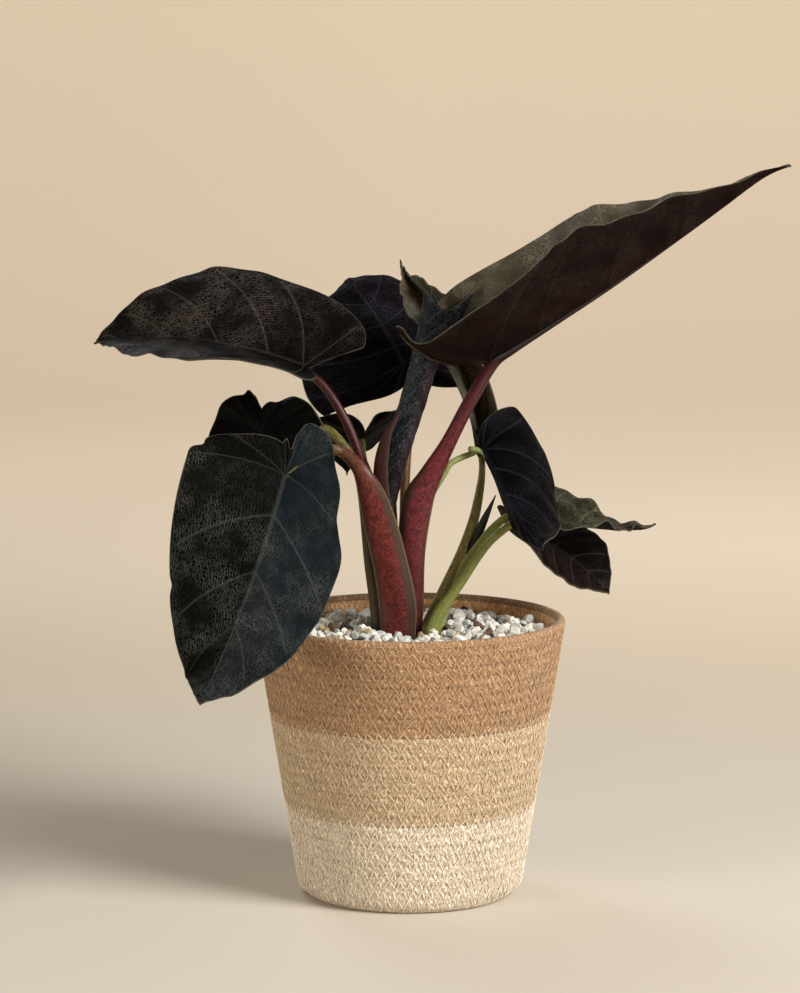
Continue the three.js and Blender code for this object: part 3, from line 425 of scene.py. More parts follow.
def blade(name, material, thickness):
    """A blade: both halves on one grid of ribs, with the veins pressed into the upper skin by
    exp(-(d/w)^2), raised under the lower one, and the tissue swollen between them by cos^2."""
    leaf = LEAVES[name]
    upper_left, upper_right, lower, vein_colour, quilt, net, fine = BLADE_LOOKS[name]
    steps = max(24, int(fine * leaf["wide"] / 62 * .21))
    s_line = np.linspace(0, 1, fine + 1)
    t_line = np.linspace(0, 1, steps + 1) ** .92
    s, t = np.meshgrid(s_line, t_line, indexing="ij")
    points, quads, flats, rib_uvs, colours = [], [], [], [], []
    table = {k: [] for k in ("vein", "rim", "raise", "press", "tone")}
    for side in (1, -1):
        p, x, y, length = half_blade(leaf, side, s, t)
        phase = RIBS * s
        away = np.abs(phase - np.floor(phase) - .5)
        ds = np.gradient(x, s_line, axis=0), np.gradient(y, s_line, axis=0)
        dt = np.gradient(x, t_line, axis=1), np.gradient(y, t_line, axis=1)
        gap = np.abs(ds[0] * dt[1] - ds[1] * dt[0]) / np.maximum(np.hypot(*dt), 1e-6) / RIBS
        lateral = away * gap
        middle = np.where(x > 0, y, np.hypot(x, y))
        size = leaf["wide"] / 60
        thin = (1 - .72 * t) * size
        main = 1.25 * size * (1 - .7 * clip01(x / leaf["long"]))
        on_lateral = np.exp(-(lateral / (.44 * thin)) ** 2)
        on_lateral = on_lateral * smoothstep(1.0, .86, t) * smoothstep(0, .02, s)
        on_middle = .8 * np.exp(-(middle / (.7 * main)) ** 2)
        vein = np.maximum(on_lateral, on_middle)
        pillow = np.cos(math.pi * (phase - np.floor(phase))) ** 2
        pillow = pillow * smoothstep(0, .16, t) * smoothstep(1, .86, t)
        pillow = pillow * smoothstep(0, .06, s) * smoothstep(1, .95, s) * clip01(gap / 6)
        fine_swell = swell(x / 5.5, y / 5.5, 11) * .16 * smoothstep(0, .2, t)
        rise = quilt * pillow + fine_swell
        table["raise"].append((rise - .3 * vein).ravel())
        keel = np.exp(-(lateral / (.95 * thin)) ** 2) * smoothstep(1.0, .8, t) * thin * .85
        keel = np.maximum(keel, np.exp(-(middle / (1.5 * main)) ** 2) * 1.5 * main)
        table["press"].append((keel - rise).ravel())
        table["vein"].append(vein.ravel())
        table["rim"].append(((1 - t) * length).ravel())
        table["tone"].append(swell(x / 30, side * y / 22, 5).ravel())
        # The upper colour of each half; where the halves differ, the difference is painted sheen.
        hue = np.array(linear(upper_left if side > 0 else upper_right)[:3])
        colours.append(np.broadcast_to(hue, p.shape).reshape(-1, 3))
        points.append(p.reshape(-1, 3))
        flats.append(np.stack([x, side * y], -1).reshape(-1, 2) / 10)
        rib_uvs.append(np.stack([phase + (0 if side > 0 else 20), t * length / 10], -1).reshape(-1, 2))
        quads.append(grid_faces(fine + 1, steps + 1, flip=side > 0) + (0 if side > 0 else s.size))
    points, quads = np.concatenate(points), np.concatenate(quads)
    table = {k: np.concatenate(v) for k, v in table.items()}
    colours = np.concatenate(colours)
    # Both halves share the midrib, the notch line and the tip.
    first, inverse = welded(points)
    n, count = len(first), len(points)
    above, below = (thickness / 2 + table[k][first] for k in ("raise", "press"))
    shell, faces = thickened(points[first], inverse[quads], above, below)
    # The maps are numbered as before the joining: upper skin, lower skin, then the wall's corners.
    wall = faces[2 * len(quads):]
    wall_corner = first[wall % n] + np.where(wall >= n, count, 0)
    corner = np.concatenate([quads, quads[:, ::-1] + count, wall_corner])
    double = lambda v: np.concatenate([v, v])
    low = np.array(linear(lower)[:3])
    colour = np.concatenate([colours[first], np.broadcast_to(low, (n, 3))])
    values = {k: double(table[k][first]) for k in ("vein", "rim", "tone")}
    values["under"] = np.concatenate([np.zeros(n), np.ones(n)])
    values["net"] = np.full(2 * n, float(net))
    vein_rgb = np.broadcast_to(np.array(linear(vein_colour)[:3]), (2 * n, 3))
    uvs = {"flat": double(np.concatenate(flats)), "ribs": double(np.concatenate(rib_uvs))}
    return write_mesh(name + "_blade", shell, faces, material, uvs, values,
                      {"hue": colour, "vein_hue": vein_rgb}, corner=corner)


def smooth_path(rows, steps):
    """A curve through rows of numbers: between two of them the cubic whose ends have the slope of
    half the difference of their neighbours."""
    rows = np.array(rows, float)
    padded = np.concatenate([[2 * rows[0] - rows[1]], rows, [2 * rows[-1] - rows[-2]]])
    a, b, c, d = padded[:-3], padded[1:-2], padded[2:-1], padded[3:]
    u = (np.arange(steps) / steps)[None, :, None]
    a, b, c, d = (v[:, None] for v in (a, b, c, d))
    curve = .5 * (2 * b + (c - a) * u + (2 * a - 5 * b + 4 * c - d) * u ** 2
                  + (3 * b - a - 3 * c + d) * u ** 3)
    return np.concatenate([curve.reshape(-1, rows.shape[1]), rows[-1:]])


def carried_frames(path):
    """Directions along, across and back at each point of a path; across starts along X and keeps
    its direction as the path turns."""
    forward = unit(np.gradient(path[:, :3], axis=0))
    across = np.zeros_like(forward)
    hand = np.array([1.0, 0, 0])
    for i, f in enumerate(forward):
        hand = hand - f * hand.dot(f)
        hand /= np.linalg.norm(hand)
        across[i] = hand
    return forward, across, np.cross(forward, across)


def stem_grid(path, sides, shape):
    """Rings along a path of x, y, z, half width, half depth: centre + across w cos(a) + back d sin(a),
    each factor changed by shape(a, row of the path), with a point at either end."""
    _, across, back = carried_frames(path)
    angle = np.linspace(0, TAU, sides + 1)[None, :]
    rows = path[:, None, :]
    wide, deep = shape(angle, rows)
    ring = rows[..., :3] + across[:, None] * (rows[..., 3] * np.cos(angle) * wide)[..., None] \
        + back[:, None] * (rows[..., 4] * np.sin(angle) * deep)[..., None]
    ends = [np.broadcast_to(path[i, :3], (1, sides + 1, 3)) for i in (0, -1)]
    grid = np.concatenate([ends[0], ring, ends[1]])
    length = np.concatenate([[0], np.cumsum(np.linalg.norm(np.diff(path[:, :3], axis=0), axis=1))])
    length = np.concatenate([length[:1], length, length[-1:]])
    angles = np.broadcast_to(angle, grid.shape[:2])
    return grid, angles, np.broadcast_to(length[:, None], grid.shape[:2])


def stem_path(name):
    """A stem's way: its foot in the soil, the given points, the junction just under the blade, and
    on as a thinning keel along the underside of the midrib."""
    x, y, a, b = FEET[name]
    via = STEMS[name]
    r = via[-1][3] * .92
    leaf = LEAVES[name]
    place, _, across, up = (v[0] for v in midrib(leaf, 1)(np.array([0.0])))
    last = [(*(place - (.95 * r + .6) * up), .95 * r, .95 * r)]
    for share, thin in KEEL:
        spot, _, _, over = (v[0] for v in midrib(leaf, 1)(np.array([share * leaf["long"]])))
        last.append((*(spot - (thin * r + .5) * over), thin * r, thin * r))
    path = smooth_path([(x, y, STEM_FOOT, a, b), (x, y, SOIL_TOP, a, b), *via, *last], SPAN)
    if leaf["rise"] > -30:
        return path
    # A hanging leaf's stem passes under a lobe and is pushed down until it clears that half.
    off = path[:, :3] - place
    side = np.where(off @ across > 0, 1.0, -1.0)
    fold = np.radians(np.clip(np.where(side > 0, leaf["foldL"], leaf["foldR"]), -60, 60))
    normal = -(side * np.sin(fold))[:, None] * across + np.cos(fold)[:, None] * up
    high = (off * normal).sum(1) + path[:, 3] * 1.05 + .8
    reach = np.linalg.norm(off, axis=1)
    near = smoothstep(leaf["notch"] + 18, leaf["notch"] + 6, reach)
    before = np.arange(len(path)) < len(path) - SPAN * len(last)
    path[:, :3] -= (np.where(before, np.maximum(high, 0), 0) * near)[:, None] * normal
    return path


def stem(name, material):
    """A stem from the soil to the blade. A sheathing stem is hollowed on its back and has a thin
    raised lip along both edges."""
    path = stem_path(name)
    top, left_band, right_band = SHEATHS.get(name, (0, 1, 1))
    outer, edge, blotch, by_blade = (np.array(linear(c)[:3]) for c in STEM_LOOKS[name])

    def shape(angle, rows):
        z = rows[..., 2]
        sheath = clip01((top - z) / 25) * clip01((z - 176) / 12)
        s, c = np.sin(angle), np.cos(angle)
        lip = sheath * (np.exp(-((np.abs(c) - 1) / .02) ** 2) * .07)
        return 1 + lip, np.where(s > 0, 1 - 1.45 * sheath * s, 1)

    grid, angle, length = stem_grid(path, 34, shape)
    z = grid[..., 2]
    sheathed = smoothstep(top + 12, top - 12, z) if top else np.zeros_like(z)
    side = np.abs(np.cos(angle))
    begin = np.where(np.cos(angle) > 0, right_band, left_band)
    on_edge = np.maximum(smoothstep(begin, begin + .14, side), (np.sin(angle) > 0) * 1.0) * sheathed
    lip = smoothstep(.965, .995, side) * sheathed * (np.sin(angle) < .2)
    green_foot = smoothstep(230, 180, z) * .25
    upward = smoothstep(.32, .6, length / length.max())[..., None]
    face = outer + (by_blade - outer) * upward
    hue = face + (edge - face) * np.maximum(on_edge, green_foot)[..., None]
    pale = np.array(linear("#8f7f5c")[:3])
    hue = hue + (pale - hue) * (lip * .5)[..., None]
    # Beyond the junction the stem is the blade's midrib and takes the underside's colour.
    junction = length[len(path) - SPAN * len(KEEL), 0] - (18 if LEAVES[name]["rise"] < -90 else 0)
    on_blade = smoothstep(junction, junction + 8, length)[..., None]
    under = 1.6 * np.array(linear(BLADE_LOOKS[name][2])[:3])
    hue = hue + (under - hue) * on_blade
    uvs = {"wrap": np.stack([angle / TAU * 2.2, length / 10], -1)}
    values = {"blotch": 1 - .55 * on_edge}
    return closed_surface(name + "_stem", grid, material, uvs, values,
                          {"hue": hue, "blotch_hue": blotch + (under - blotch) * on_blade})


def rolled_leaf(material, thickness):
    """The young leaf, rolled like a cone: at height row f and angle a, centre + (w cos a, d sin a)
    times 1 - 0.3 v, where v runs over 1.3 turns; the mouth dips by sin^2 between its points."""
    rows, round_ = 76, 120
    f = np.linspace(0, len(ROLL) - 1, rows)[:, None]
    v = np.linspace(0, 1, round_)[None, :]
    angle = np.radians(70 + 360 * 1.3 * v) + 0 * f
    dip = 13 / 11 * (f / (len(ROLL) - 1)) ** 4 * np.sin(angle) ** 2
    axis = smooth_path(ROLL, 12)
    place = np.clip(f - .9 * dip, 0, len(ROLL) - 1)
    here = np.stack([np.interp(place, np.arange(len(axis)) / 12, axis[:, k]) for k in range(5)], -1)
    size = 1 - .3 * v
    rise = (here[..., 2] - 250) / 10
    slant = rise * .9 + np.abs((angle / TAU * 3.2) % 1 - .5) * 2.4
    away = np.abs((slant / 1.15) % 1 - .5)
    vein = np.exp(-(away / .07) ** 2)
    relief = .45 * np.cos(math.pi * ((slant / 1.15) % 1)) ** 2 - .2 * vein
    x = here[..., 0] + (here[..., 3] * size + relief * .7) * np.cos(angle)
    y = here[..., 1] + (here[..., 4] * size + relief * .7) * np.sin(angle)
    grid = np.stack([x, y, here[..., 2]], -1).reshape(-1, 3)
    quads = grid_faces(rows, round_)
    half = np.full(len(grid), thickness / 2)
    shell, faces = thickened(grid, quads, half, half)
    n = len(grid)
    degrees = np.degrees(angle) % 360
    blue, maroon, inside = (np.array(linear(c)[:3]) for c in ("#0e171c", "#1e0a0d", "#050409"))
    strip = smoothstep(262, 272, degrees)[..., None]
    shadow = (1 - .85 * np.exp(-((degrees - 266) / 11) ** 2))[..., None]
    mouth = (1 - .7 * smoothstep(10.5, 13, rise))[..., None]
    outer = (blue + (maroon - blue) * strip) * shadow * mouth
    hue = np.concatenate([outer.reshape(-1, 3), np.broadcast_to(inside, (n, 3))])
    double = lambda a: np.concatenate([a.ravel(), a.ravel()])
    # Distance to the nearest edge: the blade is 150 mm round, and the rows are 20 mm apart.
    rim = np.minimum(np.minimum(v * 150, (1 - v) * 150), (len(ROLL) - 1 - f) * 20)
    tone = swell(angle * 2, rise, 3)
    values = {"vein": double(vein), "rim": double(rim), "tone": double(tone),
              "under": np.zeros(2 * n), "net": np.full(2 * n, .8)}
    flat = np.stack([angle, rise], -1).reshape(-1, 2)
    ribs = np.stack([slant / 1.15, angle * .9], -1).reshape(-1, 2)
    uvs = {"flat": np.concatenate([flat, flat]), "ribs": np.concatenate([ribs, ribs])}
    pale = np.broadcast_to(np.array(linear("#6f7c88")[:3]), (2 * n, 3))
    return write_mesh("young_leaf_roll", shell, faces, material, uvs, values,
                      {"hue": hue, "vein_hue": pale})


def slim_piece(name, rows, material, colours, hollow=0.0, low=0.0):
    """A stalk, bract or spike: the stem's rings, pressed in at the back by hollow, with pale edges."""
    path = smooth_path(rows, 10)

    def shape(angle, rows_):
        s = np.sin(angle)
        deep = np.where(s > 0, 1 - 1.45 * hollow * s * clip01((rows_[..., 2] - low) / 20), 1)
        return 1, deep

    grid, angle, length = stem_grid(path, 28, shape)
    outer, edge, blotch = (np.array(linear(c)[:3]) for c in colours)
    side = smoothstep(.9, .99, np.abs(np.cos(angle)))
    hue = outer + (edge - outer) * side[..., None]
    uvs = {"wrap": np.stack([angle / TAU * 2, length / 10], -1)}
    return closed_surface(name, grid, material, uvs, {"blotch": 1 - .5 * side},
                          {"hue": hue, "blotch_hue": np.broadcast_to(blotch, hue.shape)})


# Basket
HEIGHT, COIL, FOOT, CONE, TAPER, CORNER, WALL, FLOOR = 181.0, 6.55, 65.0, 72.0, .161, 14.0, 5.5, 6.0
CREAM_TOP, NATURAL_TOP = 9 * COIL, 18 * COIL
STITCHES = 76
LEAN = .42  # share of a stitch's pitch that its long stroke runs sideways over one coil
BULGE = .85  # how far a coil's crest stands out over the valley beside it, in mm
OVERLAP = .12  # how far two bands run past their border, in mm
INSIDE_PAINTED_LIGHT = 2.3  # painted light: the cord inside the rim is made paler, where the light reaches the inner wall


def outer_radius(z):
    """The basket's outside: a cone, rounded in below the corner's height like a quarter ellipse."""
    edge = CONE + TAPER * CORNER
    t = clip01(1 - z / CORNER)
    return np.where(z >= CORNER, CONE + TAPER * z, FOOT + (edge - FOOT) * np.sqrt(1 - t * t))


def inner_radius(z):
    """The basket's inside: a plain cone."""
    return CONE + TAPER * z - WALL


def coil_bulge(along):
    """0 on the crest of a coil to -1 in the valley between two, as a flattened arc."""
    f = along / COIL
    f = f - np.floor(f)
    return np.sqrt(np.maximum(1 - (2 * np.abs(f - .5)) ** 2.6, 0)) - 1


def crinkle(theta, z):
    """Unevenness of the sewn cord: pinches where the thread enters, slanting folds, lumps."""
    turn = theta / TAU * STITCHES
    row = z / COIL - .5
    k = np.round(row)
    shift = turn - LEAN * -k
    near = np.abs(shift - np.round(shift))
    pinch = np.exp(-(near / .16) ** 2 - ((row - k) / .2) ** 2)
    folds = np.sin(TAU * (turn * 1.0 + LEAN * row)) * np.sin(TAU * (turn * 1.0 - (1 - LEAN) * row))
    lumps = swell(np.cos(theta) * 16 + z * .3, np.sin(theta) * 16 - z * .25, 8)
    fine = swell(np.cos(theta) * 70 + z * .9, np.sin(theta) * 70 + z * .7, 9, 11)
    return -.55 * pinch + .2 * folds + .25 * lumps + .2 * fine


def basket_band(name, profile, relief, material, hue, around=380):
    """A surface of revolution about Z from a closed profile of radius and height. Where relief is 1
    it gets the coils' bulge and crinkles outwards, and where it is negative inwards."""
    profile = np.array(profile, float)
    relief = np.array(relief, float)[:, None]
    theta = np.linspace(0, TAU, around + 1)[None, :]
    r, z = profile[:, :1], profile[:, 1:] + 0 * theta
    bump = BULGE * coil_bulge(z) * np.abs(relief) + crinkle(theta, z) * np.abs(relief)
    rr = np.maximum(r + np.sign(relief) * bump, 0)
    grid = np.stack([rr * np.cos(theta), rr * np.sin(theta), z], -1)
    along = np.concatenate([[0], np.cumsum(np.hypot(*np.diff(profile, axis=0).T))])[:, None]
    wrap = np.stack([theta / TAU * STITCHES + 0 * along, z / COIL], -1)
    flat = np.stack([theta * 9 + 0 * along, along / 10 + 0 * theta], -1)
    # Painted shade: depth is high in the valleys between coils and in the pinches and folds, and darkens
    # the cord there.
    depth = clip01(-coil_bulge(z)) * np.abs(relief) + .8 * clip01(-crinkle(theta, z))
    # Painted light on the rim's inner wall: the cord inside is made paler.
    inside = np.where(relief < 0, INSIDE_PAINTED_LIGHT, 1.0)[..., None]
    rgb = np.broadcast_to(np.array(hue), grid.shape) * inside
    return closed_surface(name, grid, material, {"wrap": wrap, "flat": flat}, {"depth": depth},
                          {"hue": rgb})


def run_of(points, spacing):
    """Points along straight stretches, spaced evenly."""
    out = []
    for a, b in zip(points[:-1], points[1:]):
        n = max(1, int(math.ceil(math.dist(a, b) / spacing)))
        out += [(a[0] + (b[0] - a[0]) * k / n, a[1] + (b[1] - a[1]) * k / n) for k in range(n)]
    return out + [points[-1]]


def thread_rings(name, seams, material, hue, thick):
    """Zigzag sewing thread, one closed ring a seam: over one coil down along the long stroke and
    back up along the short one, lying on the cord and dipping in at its ends."""
    per, corners = 10, 5  # points along a stitch and, with the first one twice, around the thread
    n = STITCHES * per
    random = np.random.default_rng(len(seams) * 7 + int(seams[0]))
    pieces, faces, uv = [], [], []
    base = 0
    for c in seams:
        i = np.arange(n + 1)
        u = i / per
        within = u - np.floor(u)
        stroke = np.where(within < .5, within * 2, 2 - within * 2)  # 0 at the top, 1 at the bottom
        side = np.where(within < .5, within * 2 * LEAN, LEAN + (within - .5) * 2 * (1 - LEAN))
        jitter = random.normal(0, .17, STITCHES)[np.floor(u).astype(int) % STITCHES]
        jitter = jitter * np.sin(np.pi * within)
        turn = np.floor(u) + side + jitter - LEAN * c
        drift = swell(np.cos(u / STITCHES * TAU) * 9, np.sin(u / STITCHES * TAU) * 9 + c, 17, 9)
        theta = (turn + .16 * drift) / STITCHES * TAU
        z = (c + .5 - stroke) * COIL + .5 * swell(u * 1.3, u * 0 + c * 5, 23)
        z = np.clip(z, 1.0, HEIGHT - 3.5)
        bulge = BULGE * coil_bulge(z)
        end = within - np.round(within * 2) / 2
        lift = .12 + .35 * np.sin(np.pi * stroke) - .25 * np.exp(-(end / .05) ** 2)
        r = outer_radius(z) + bulge * .8 + lift
        path = np.stack([r * np.cos(theta), r * np.sin(theta), z], -1)
        forward = unit(np.gradient(path, axis=0))
        out = np.stack([np.cos(theta), np.sin(theta), -TAPER + 0 * theta], -1)
        side_way = unit(np.cross(forward, out))
        out = np.cross(side_way, forward)
        corner = np.arange(corners) / (corners - 1) * TAU
        ring = path[:, None] + (side_way[:, None] * np.cos(corner)[None, :, None] * thick / 2
                                + out[:, None] * np.sin(corner)[None, :, None] * thick * .36)
        ring[-1] = ring[0]
        pieces.append(ring.reshape(-1, 3))
        uv.append(np.stack(np.broadcast_arrays(corner, u[:, None]), -1).reshape(-1, 2))
        faces.append(grid_faces(n + 1, corners) + base)
        base += (n + 1) * corners
    points, quads = np.concatenate(pieces), np.concatenate(faces)
    first, inverse = welded(points)
    rgb = np.broadcast_to(np.array(hue), (len(first), 3))
    return write_mesh(name, points[first], inverse[quads], material, {"wrap": np.concatenate(uv)},
                      {"depth": np.zeros(len(first))}, {"hue": rgb}, corner=quads)


# Pumice
GOLDEN_ANGLE = 2.399963  # the turn from one chip to the next that spreads them evenly


def chip_shape():
    """The 18 corners and 32 faces of an octahedron whose edges are halved, on a unit sphere."""
    v = np.array([[1, 0, 0], [-1, 0, 0], [0, 1, 0], [0, -1, 0], [0, 0, 1], [0, 0, -1]], float)
    f = np.array([[0, 2, 4], [2, 1, 4], [1, 3, 4], [3, 0, 4], [2, 0, 5], [1, 2, 5], [3, 1, 5], [0, 3, 5]])
    edges = np.unique(np.sort(np.concatenate([f[:, [0, 1]], f[:, [1, 2]], f[:, [2, 0]]]), axis=1), axis=0)
    number = {tuple(e): 6 + k for k, e in enumerate(edges)}
    middle = lambda a, b: number[(min(a, b), max(a, b))]
    faces = []
    for a, b, c in f:
        ab, bc, ca = middle(a, b), middle(b, c), middle(c, a)
        faces += [[a, ab, ca], [ab, b, bc], [ca, bc, c], [ab, bc, ca]]
    v = np.concatenate([v, unit(v[edges[:, 0]] + v[edges[:, 1]])])
    return v, np.array(faces)


def chips(places, sizes, seed):
    """Many angular chips as arrays: the chip's corners, scaled and turned at random, with whatever
    stands beyond five random planes pressed back onto them."""
    random = np.random.default_rng(seed)
    base, faces = chip_shape()
    n = len(places)
    local = base[None] * random.uniform(.86, 1.12, (n, len(base), 1))
    for _ in range(5):
        normal = unit(random.normal(0, 1, (n, 1, 3)))
        limit = random.uniform(.5, .78, (n, 1, 1))
        beyond = np.maximum((local * normal).sum(-1, keepdims=True) - limit, 0)
        local = local - beyond * normal
    local = local * random.uniform([.85, .7, .55], [1.2, 1.0, .9], (n, 3))[:, None]
    q = unit(random.normal(0, 1, (n, 4)) * [1, .35, .35, 1])
    w, x, y, z = q.T
    turn = np.stack([np.stack([1 - 2 * (y * y + z * z), 2 * (x * y - w * z), 2 * (x * z + w * y)], -1),
                     np.stack([2 * (x * y + w * z), 1 - 2 * (x * x + z * z), 2 * (y * z - w * x)], -1),
                     np.stack([2 * (x * z - w * y), 2 * (y * z + w * x), 1 - 2 * (x * x + y * y)], -1)], -2)
    local = np.einsum("nij,nkj->nki", turn, local) * sizes[:, None, None] * .5
    points = (places[:, None] + local).reshape(-1, 3)
    index = faces[None] + (np.arange(n) * len(base))[:, None, None]
    triangles = index.reshape(-1, 3)
    return points, np.concatenate([triangles, triangles[:, 2:]], 1), len(base)


# Materials

class Nodes:
    """Short hands for placing and joining shader nodes in one tree."""

    def __init__(self, tree):
        self.tree = tree
        self.column = 0

    def add(self, kind, settings=None, **inputs):
        node = self.tree.nodes.new(kind)
        node.location = (self.column * 180 - 1800, -(self.column % 5) * 160)
        self.column += 1
        for key, value in (settings or {}).items():
            setattr(node, key, value)
        for key, value in inputs.items():
            self.put(node, key.replace("_", " "), value)
        return node

    def put(self, node, key, value):
        socket = node.inputs[int(key)] if key.isdigit() else node.inputs[key]
        if isinstance(value, bpy.types.NodeSocket):
            self.tree.links.new(value, socket)
        else:
            socket.default_value = value

    def math(self, operation, a, b=0.0):
        node = self.add("ShaderNodeMath", {"operation": operation})
        self.put(node, "0", a)
        self.put(node, "1", b)
        return node.outputs[0]

    def times(self, a, b):
        return self.math("MULTIPLY", a, b)

    def plus(self, a, b):
        return self.math("ADD", a, b)

    def minus(self, a, b):
        return self.math("SUBTRACT", a, b)

    def mix(self, factor, a, b, blend="MIX"):
        node = self.add("ShaderNodeMix", {"data_type": "RGBA", "blend_type": blend})
        for key, value in ((0, factor), (6, a), (7, b)):
            self.put(node, str(key), value)
        return node.outputs[2]

    def tinted(self, hue, factors):
        return self.mix(1.0, hue, (*factors, 1), "MULTIPLY")

    def step(self, value, low, high, to_low=0.0, to_high=1.0):
        node = self.add("ShaderNodeMapRange", {"interpolation_type": "SMOOTHSTEP"})
        for k, v in enumerate((value, low, high, to_low, to_high)):
            self.put(node, str(k), v)
        return node.outputs[0]

    def attribute(self, name, output="Fac"):
        node = self.add("ShaderNodeAttribute", {"attribute_name": name})
        return node.outputs[output]

    def uv(self, name):
        return self.add("ShaderNodeUVMap", {"uv_map": name}).outputs[0]

    def noise(self, vector, scale, detail=3.0, rough=.5, distort=0.0):
        node = self.add("ShaderNodeTexNoise", {}, Vector=vector, Scale=scale, Detail=detail,
                        Roughness=rough, Distortion=distort)
        return node.outputs["Fac"]

    def bump(self, shader, height, strength, distance):
        """Joins a bump from a height to the shader's normal; the distance is in metres."""
        node = self.add("ShaderNodeBump", {}, Height=height, Strength=strength, Distance=distance)
        self.put(shader, "Normal", node.outputs[0])


def new_group(name, inputs, outputs):
    """An empty shader group. Each input gives its name, kind and value and each output its name and
    kind, where f is a float and v a vector."""
    group = bpy.data.node_groups.new(name, "ShaderNodeTree")
    kinds = {"f": "NodeSocketFloat", "v": "NodeSocketVector"}
    for label, kind, value in inputs:
        socket = group.interface.new_socket(name=label, in_out="INPUT", socket_type=kinds[kind])
        if value is not None:
            socket.default_value = value
    for label, kind in outputs:
        group.interface.new_socket(name=label, in_out="OUTPUT", socket_type=kinds[kind])
    given = group.nodes.new("NodeGroupInput").outputs
    return group, Nodes(group), given, group.nodes.new("NodeGroupOutput").inputs


def net_group():
    """Fine net veins: ladder rungs across the ribs, bent by noise and broken into short lengths,
    over a finer mesh of cells. Ridge is 1 on a vein and 0 between."""
    if "Net veins" in bpy.data.node_groups:
        return bpy.data.node_groups["Net veins"]
    group, n, given, out = new_group(
        "Net veins", [("Ribs", "v", None), ("Flat", "v", None), ("Rungs", "f", 6.0), ("Wobble", "f", .35),
                      ("Cells", "f", 5.0)], [("Ridge", "f")])
    ribs = n.add("ShaderNodeSeparateXYZ", {}, Vector=given["Ribs"])
    share = n.math("FRACT", ribs.outputs[0])
    arch = n.times(n.math("POWER", n.minus(share, .5), 2.0), -2.2)
    wave = n.noise(given["Flat"], 1.9, 2.0, .6)
    bent = n.plus(n.plus(ribs.outputs[1], arch), n.times(n.minus(wave, .5), given["Wobble"]))
    bent = n.plus(bent, n.times(n.minus(n.noise(given["Flat"], 5.0, 1.0), .5), .13))
    rung = n.math("ABSOLUTE", n.math("SINE", n.times(n.times(bent, given["Rungs"]), math.pi)))
    ladder = n.step(rung, .48, .1)
    broken = n.step(n.noise(given["Flat"], 3.0, 1.0), .4, .5)
    cells = n.add("ShaderNodeTexVoronoi", {"feature": "DISTANCE_TO_EDGE"}, Vector=given["Flat"],
                  Scale=given["Cells"], Randomness=.9)
    mesh = n.step(cells.outputs["Distance"], .14, .03)
    n.tree.links.new(n.math("MAXIMUM", n.times(ladder, broken), n.times(mesh, .35)), out["Ridge"])
    return group


def blotch_group():
    """Mottling of the stems: short dark marks drawn out along the stem, and finer freckles."""
    if "Stem mottling" in bpy.data.node_groups:
        return bpy.data.node_groups["Stem mottling"]
    group, n, given, out = new_group("Stem mottling", [("Wrap", "v", None), ("Amount", "f", 1.0)],
                                     [("Mask", "f"), ("Freckle", "f")])
    long = n.add("ShaderNodeMapping", {}, Vector=given["Wrap"], Scale=(3.4, 1.3, 1.0))
    marks = n.step(n.noise(long.outputs[0], 1.8, 5.0, .75, 1.8), .45, .56)
    seam = n.add("ShaderNodeTexVoronoi", {"feature": "DISTANCE_TO_EDGE"}, Vector=long.outputs[0], Scale=2.5)
    marks = n.math("MAXIMUM", marks, n.times(n.step(seam.outputs["Distance"], .1, .02), .6))
    freckle = n.step(n.noise(given["Wrap"], 14.0, 2.0), .55, .7)
    n.tree.links.new(n.times(marks, given["Amount"]), out["Mask"])
    n.tree.links.new(freckle, out["Freckle"])
    return group


def strand_group():
    """Crumpled paper strands: four families of slanting lines, two a way, each broken into short
    lengths and bent by noise, over lumpy noise. Shade is 1 on a strand and 0 in a pit."""
    if "Paper strands" in bpy.data.node_groups:
        return bpy.data.node_groups["Paper strands"]
    group, n, given, out = new_group(
        "Paper strands", [("Wrap", "v", None), ("Flat", "v", None), ("Wobble", "f", .5)],
        [("Height", "f"), ("Shade", "f")])
    wrap = n.add("ShaderNodeSeparateXYZ", {}, Vector=given["Wrap"])
    bend = n.times(n.minus(n.noise(given["Flat"], 2.6, 3.0, .6), .5), given["Wobble"])
    total = None
    families = ((2.0, .84, 1.0), (2.1, -1.25, .9), (3.7, 1.9, .75), (3.9, -2.4, .7))
    for k, (across, up, strength) in enumerate(families):
        slant = n.plus(n.times(wrap.outputs[0], across), n.times(wrap.outputs[1], up))
        slant = n.plus(slant, n.times(bend, across * 1.6))
        away = n.math("ABSOLUTE", n.minus(n.math("FRACT", slant), .5))
        spot = n.add("ShaderNodeMapping", {}, Vector=given["Flat"], Location=(k * 3.1, k * 5.7, 0))
        here = n.step(n.noise(spot.outputs[0], 2.4 + .5 * k, 2.0), .4, .56)
        strand = n.times(n.times(n.step(away, .27, .04), here), strength)
        total = strand if total is None else n.math("MAXIMUM", total, strand)
    lumps = n.noise(given["Flat"], 7.0, 4.0, .65)
    n.tree.links.new(n.plus(total, n.times(lumps, .6)), out["Height"])
    n.tree.links.new(n.plus(n.times(total, .72), n.times(n.step(lumps, .3, .7), .28)), out["Shade"])
    return group


def new_material(name, roughness, **constants):
    """A material with one Principled shader; values that are the same all over go on its sockets."""
    material = bpy.data.materials.new(name)
    material.use_nodes = True
    tree = material.node_tree
    shader = tree.nodes["Principled BSDF"]
    shader.inputs["Roughness"].default_value = roughness
    for key, value in constants.items():
        shader.inputs[key.replace("_", " ")].default_value = value
    return material, Nodes(tree), shader


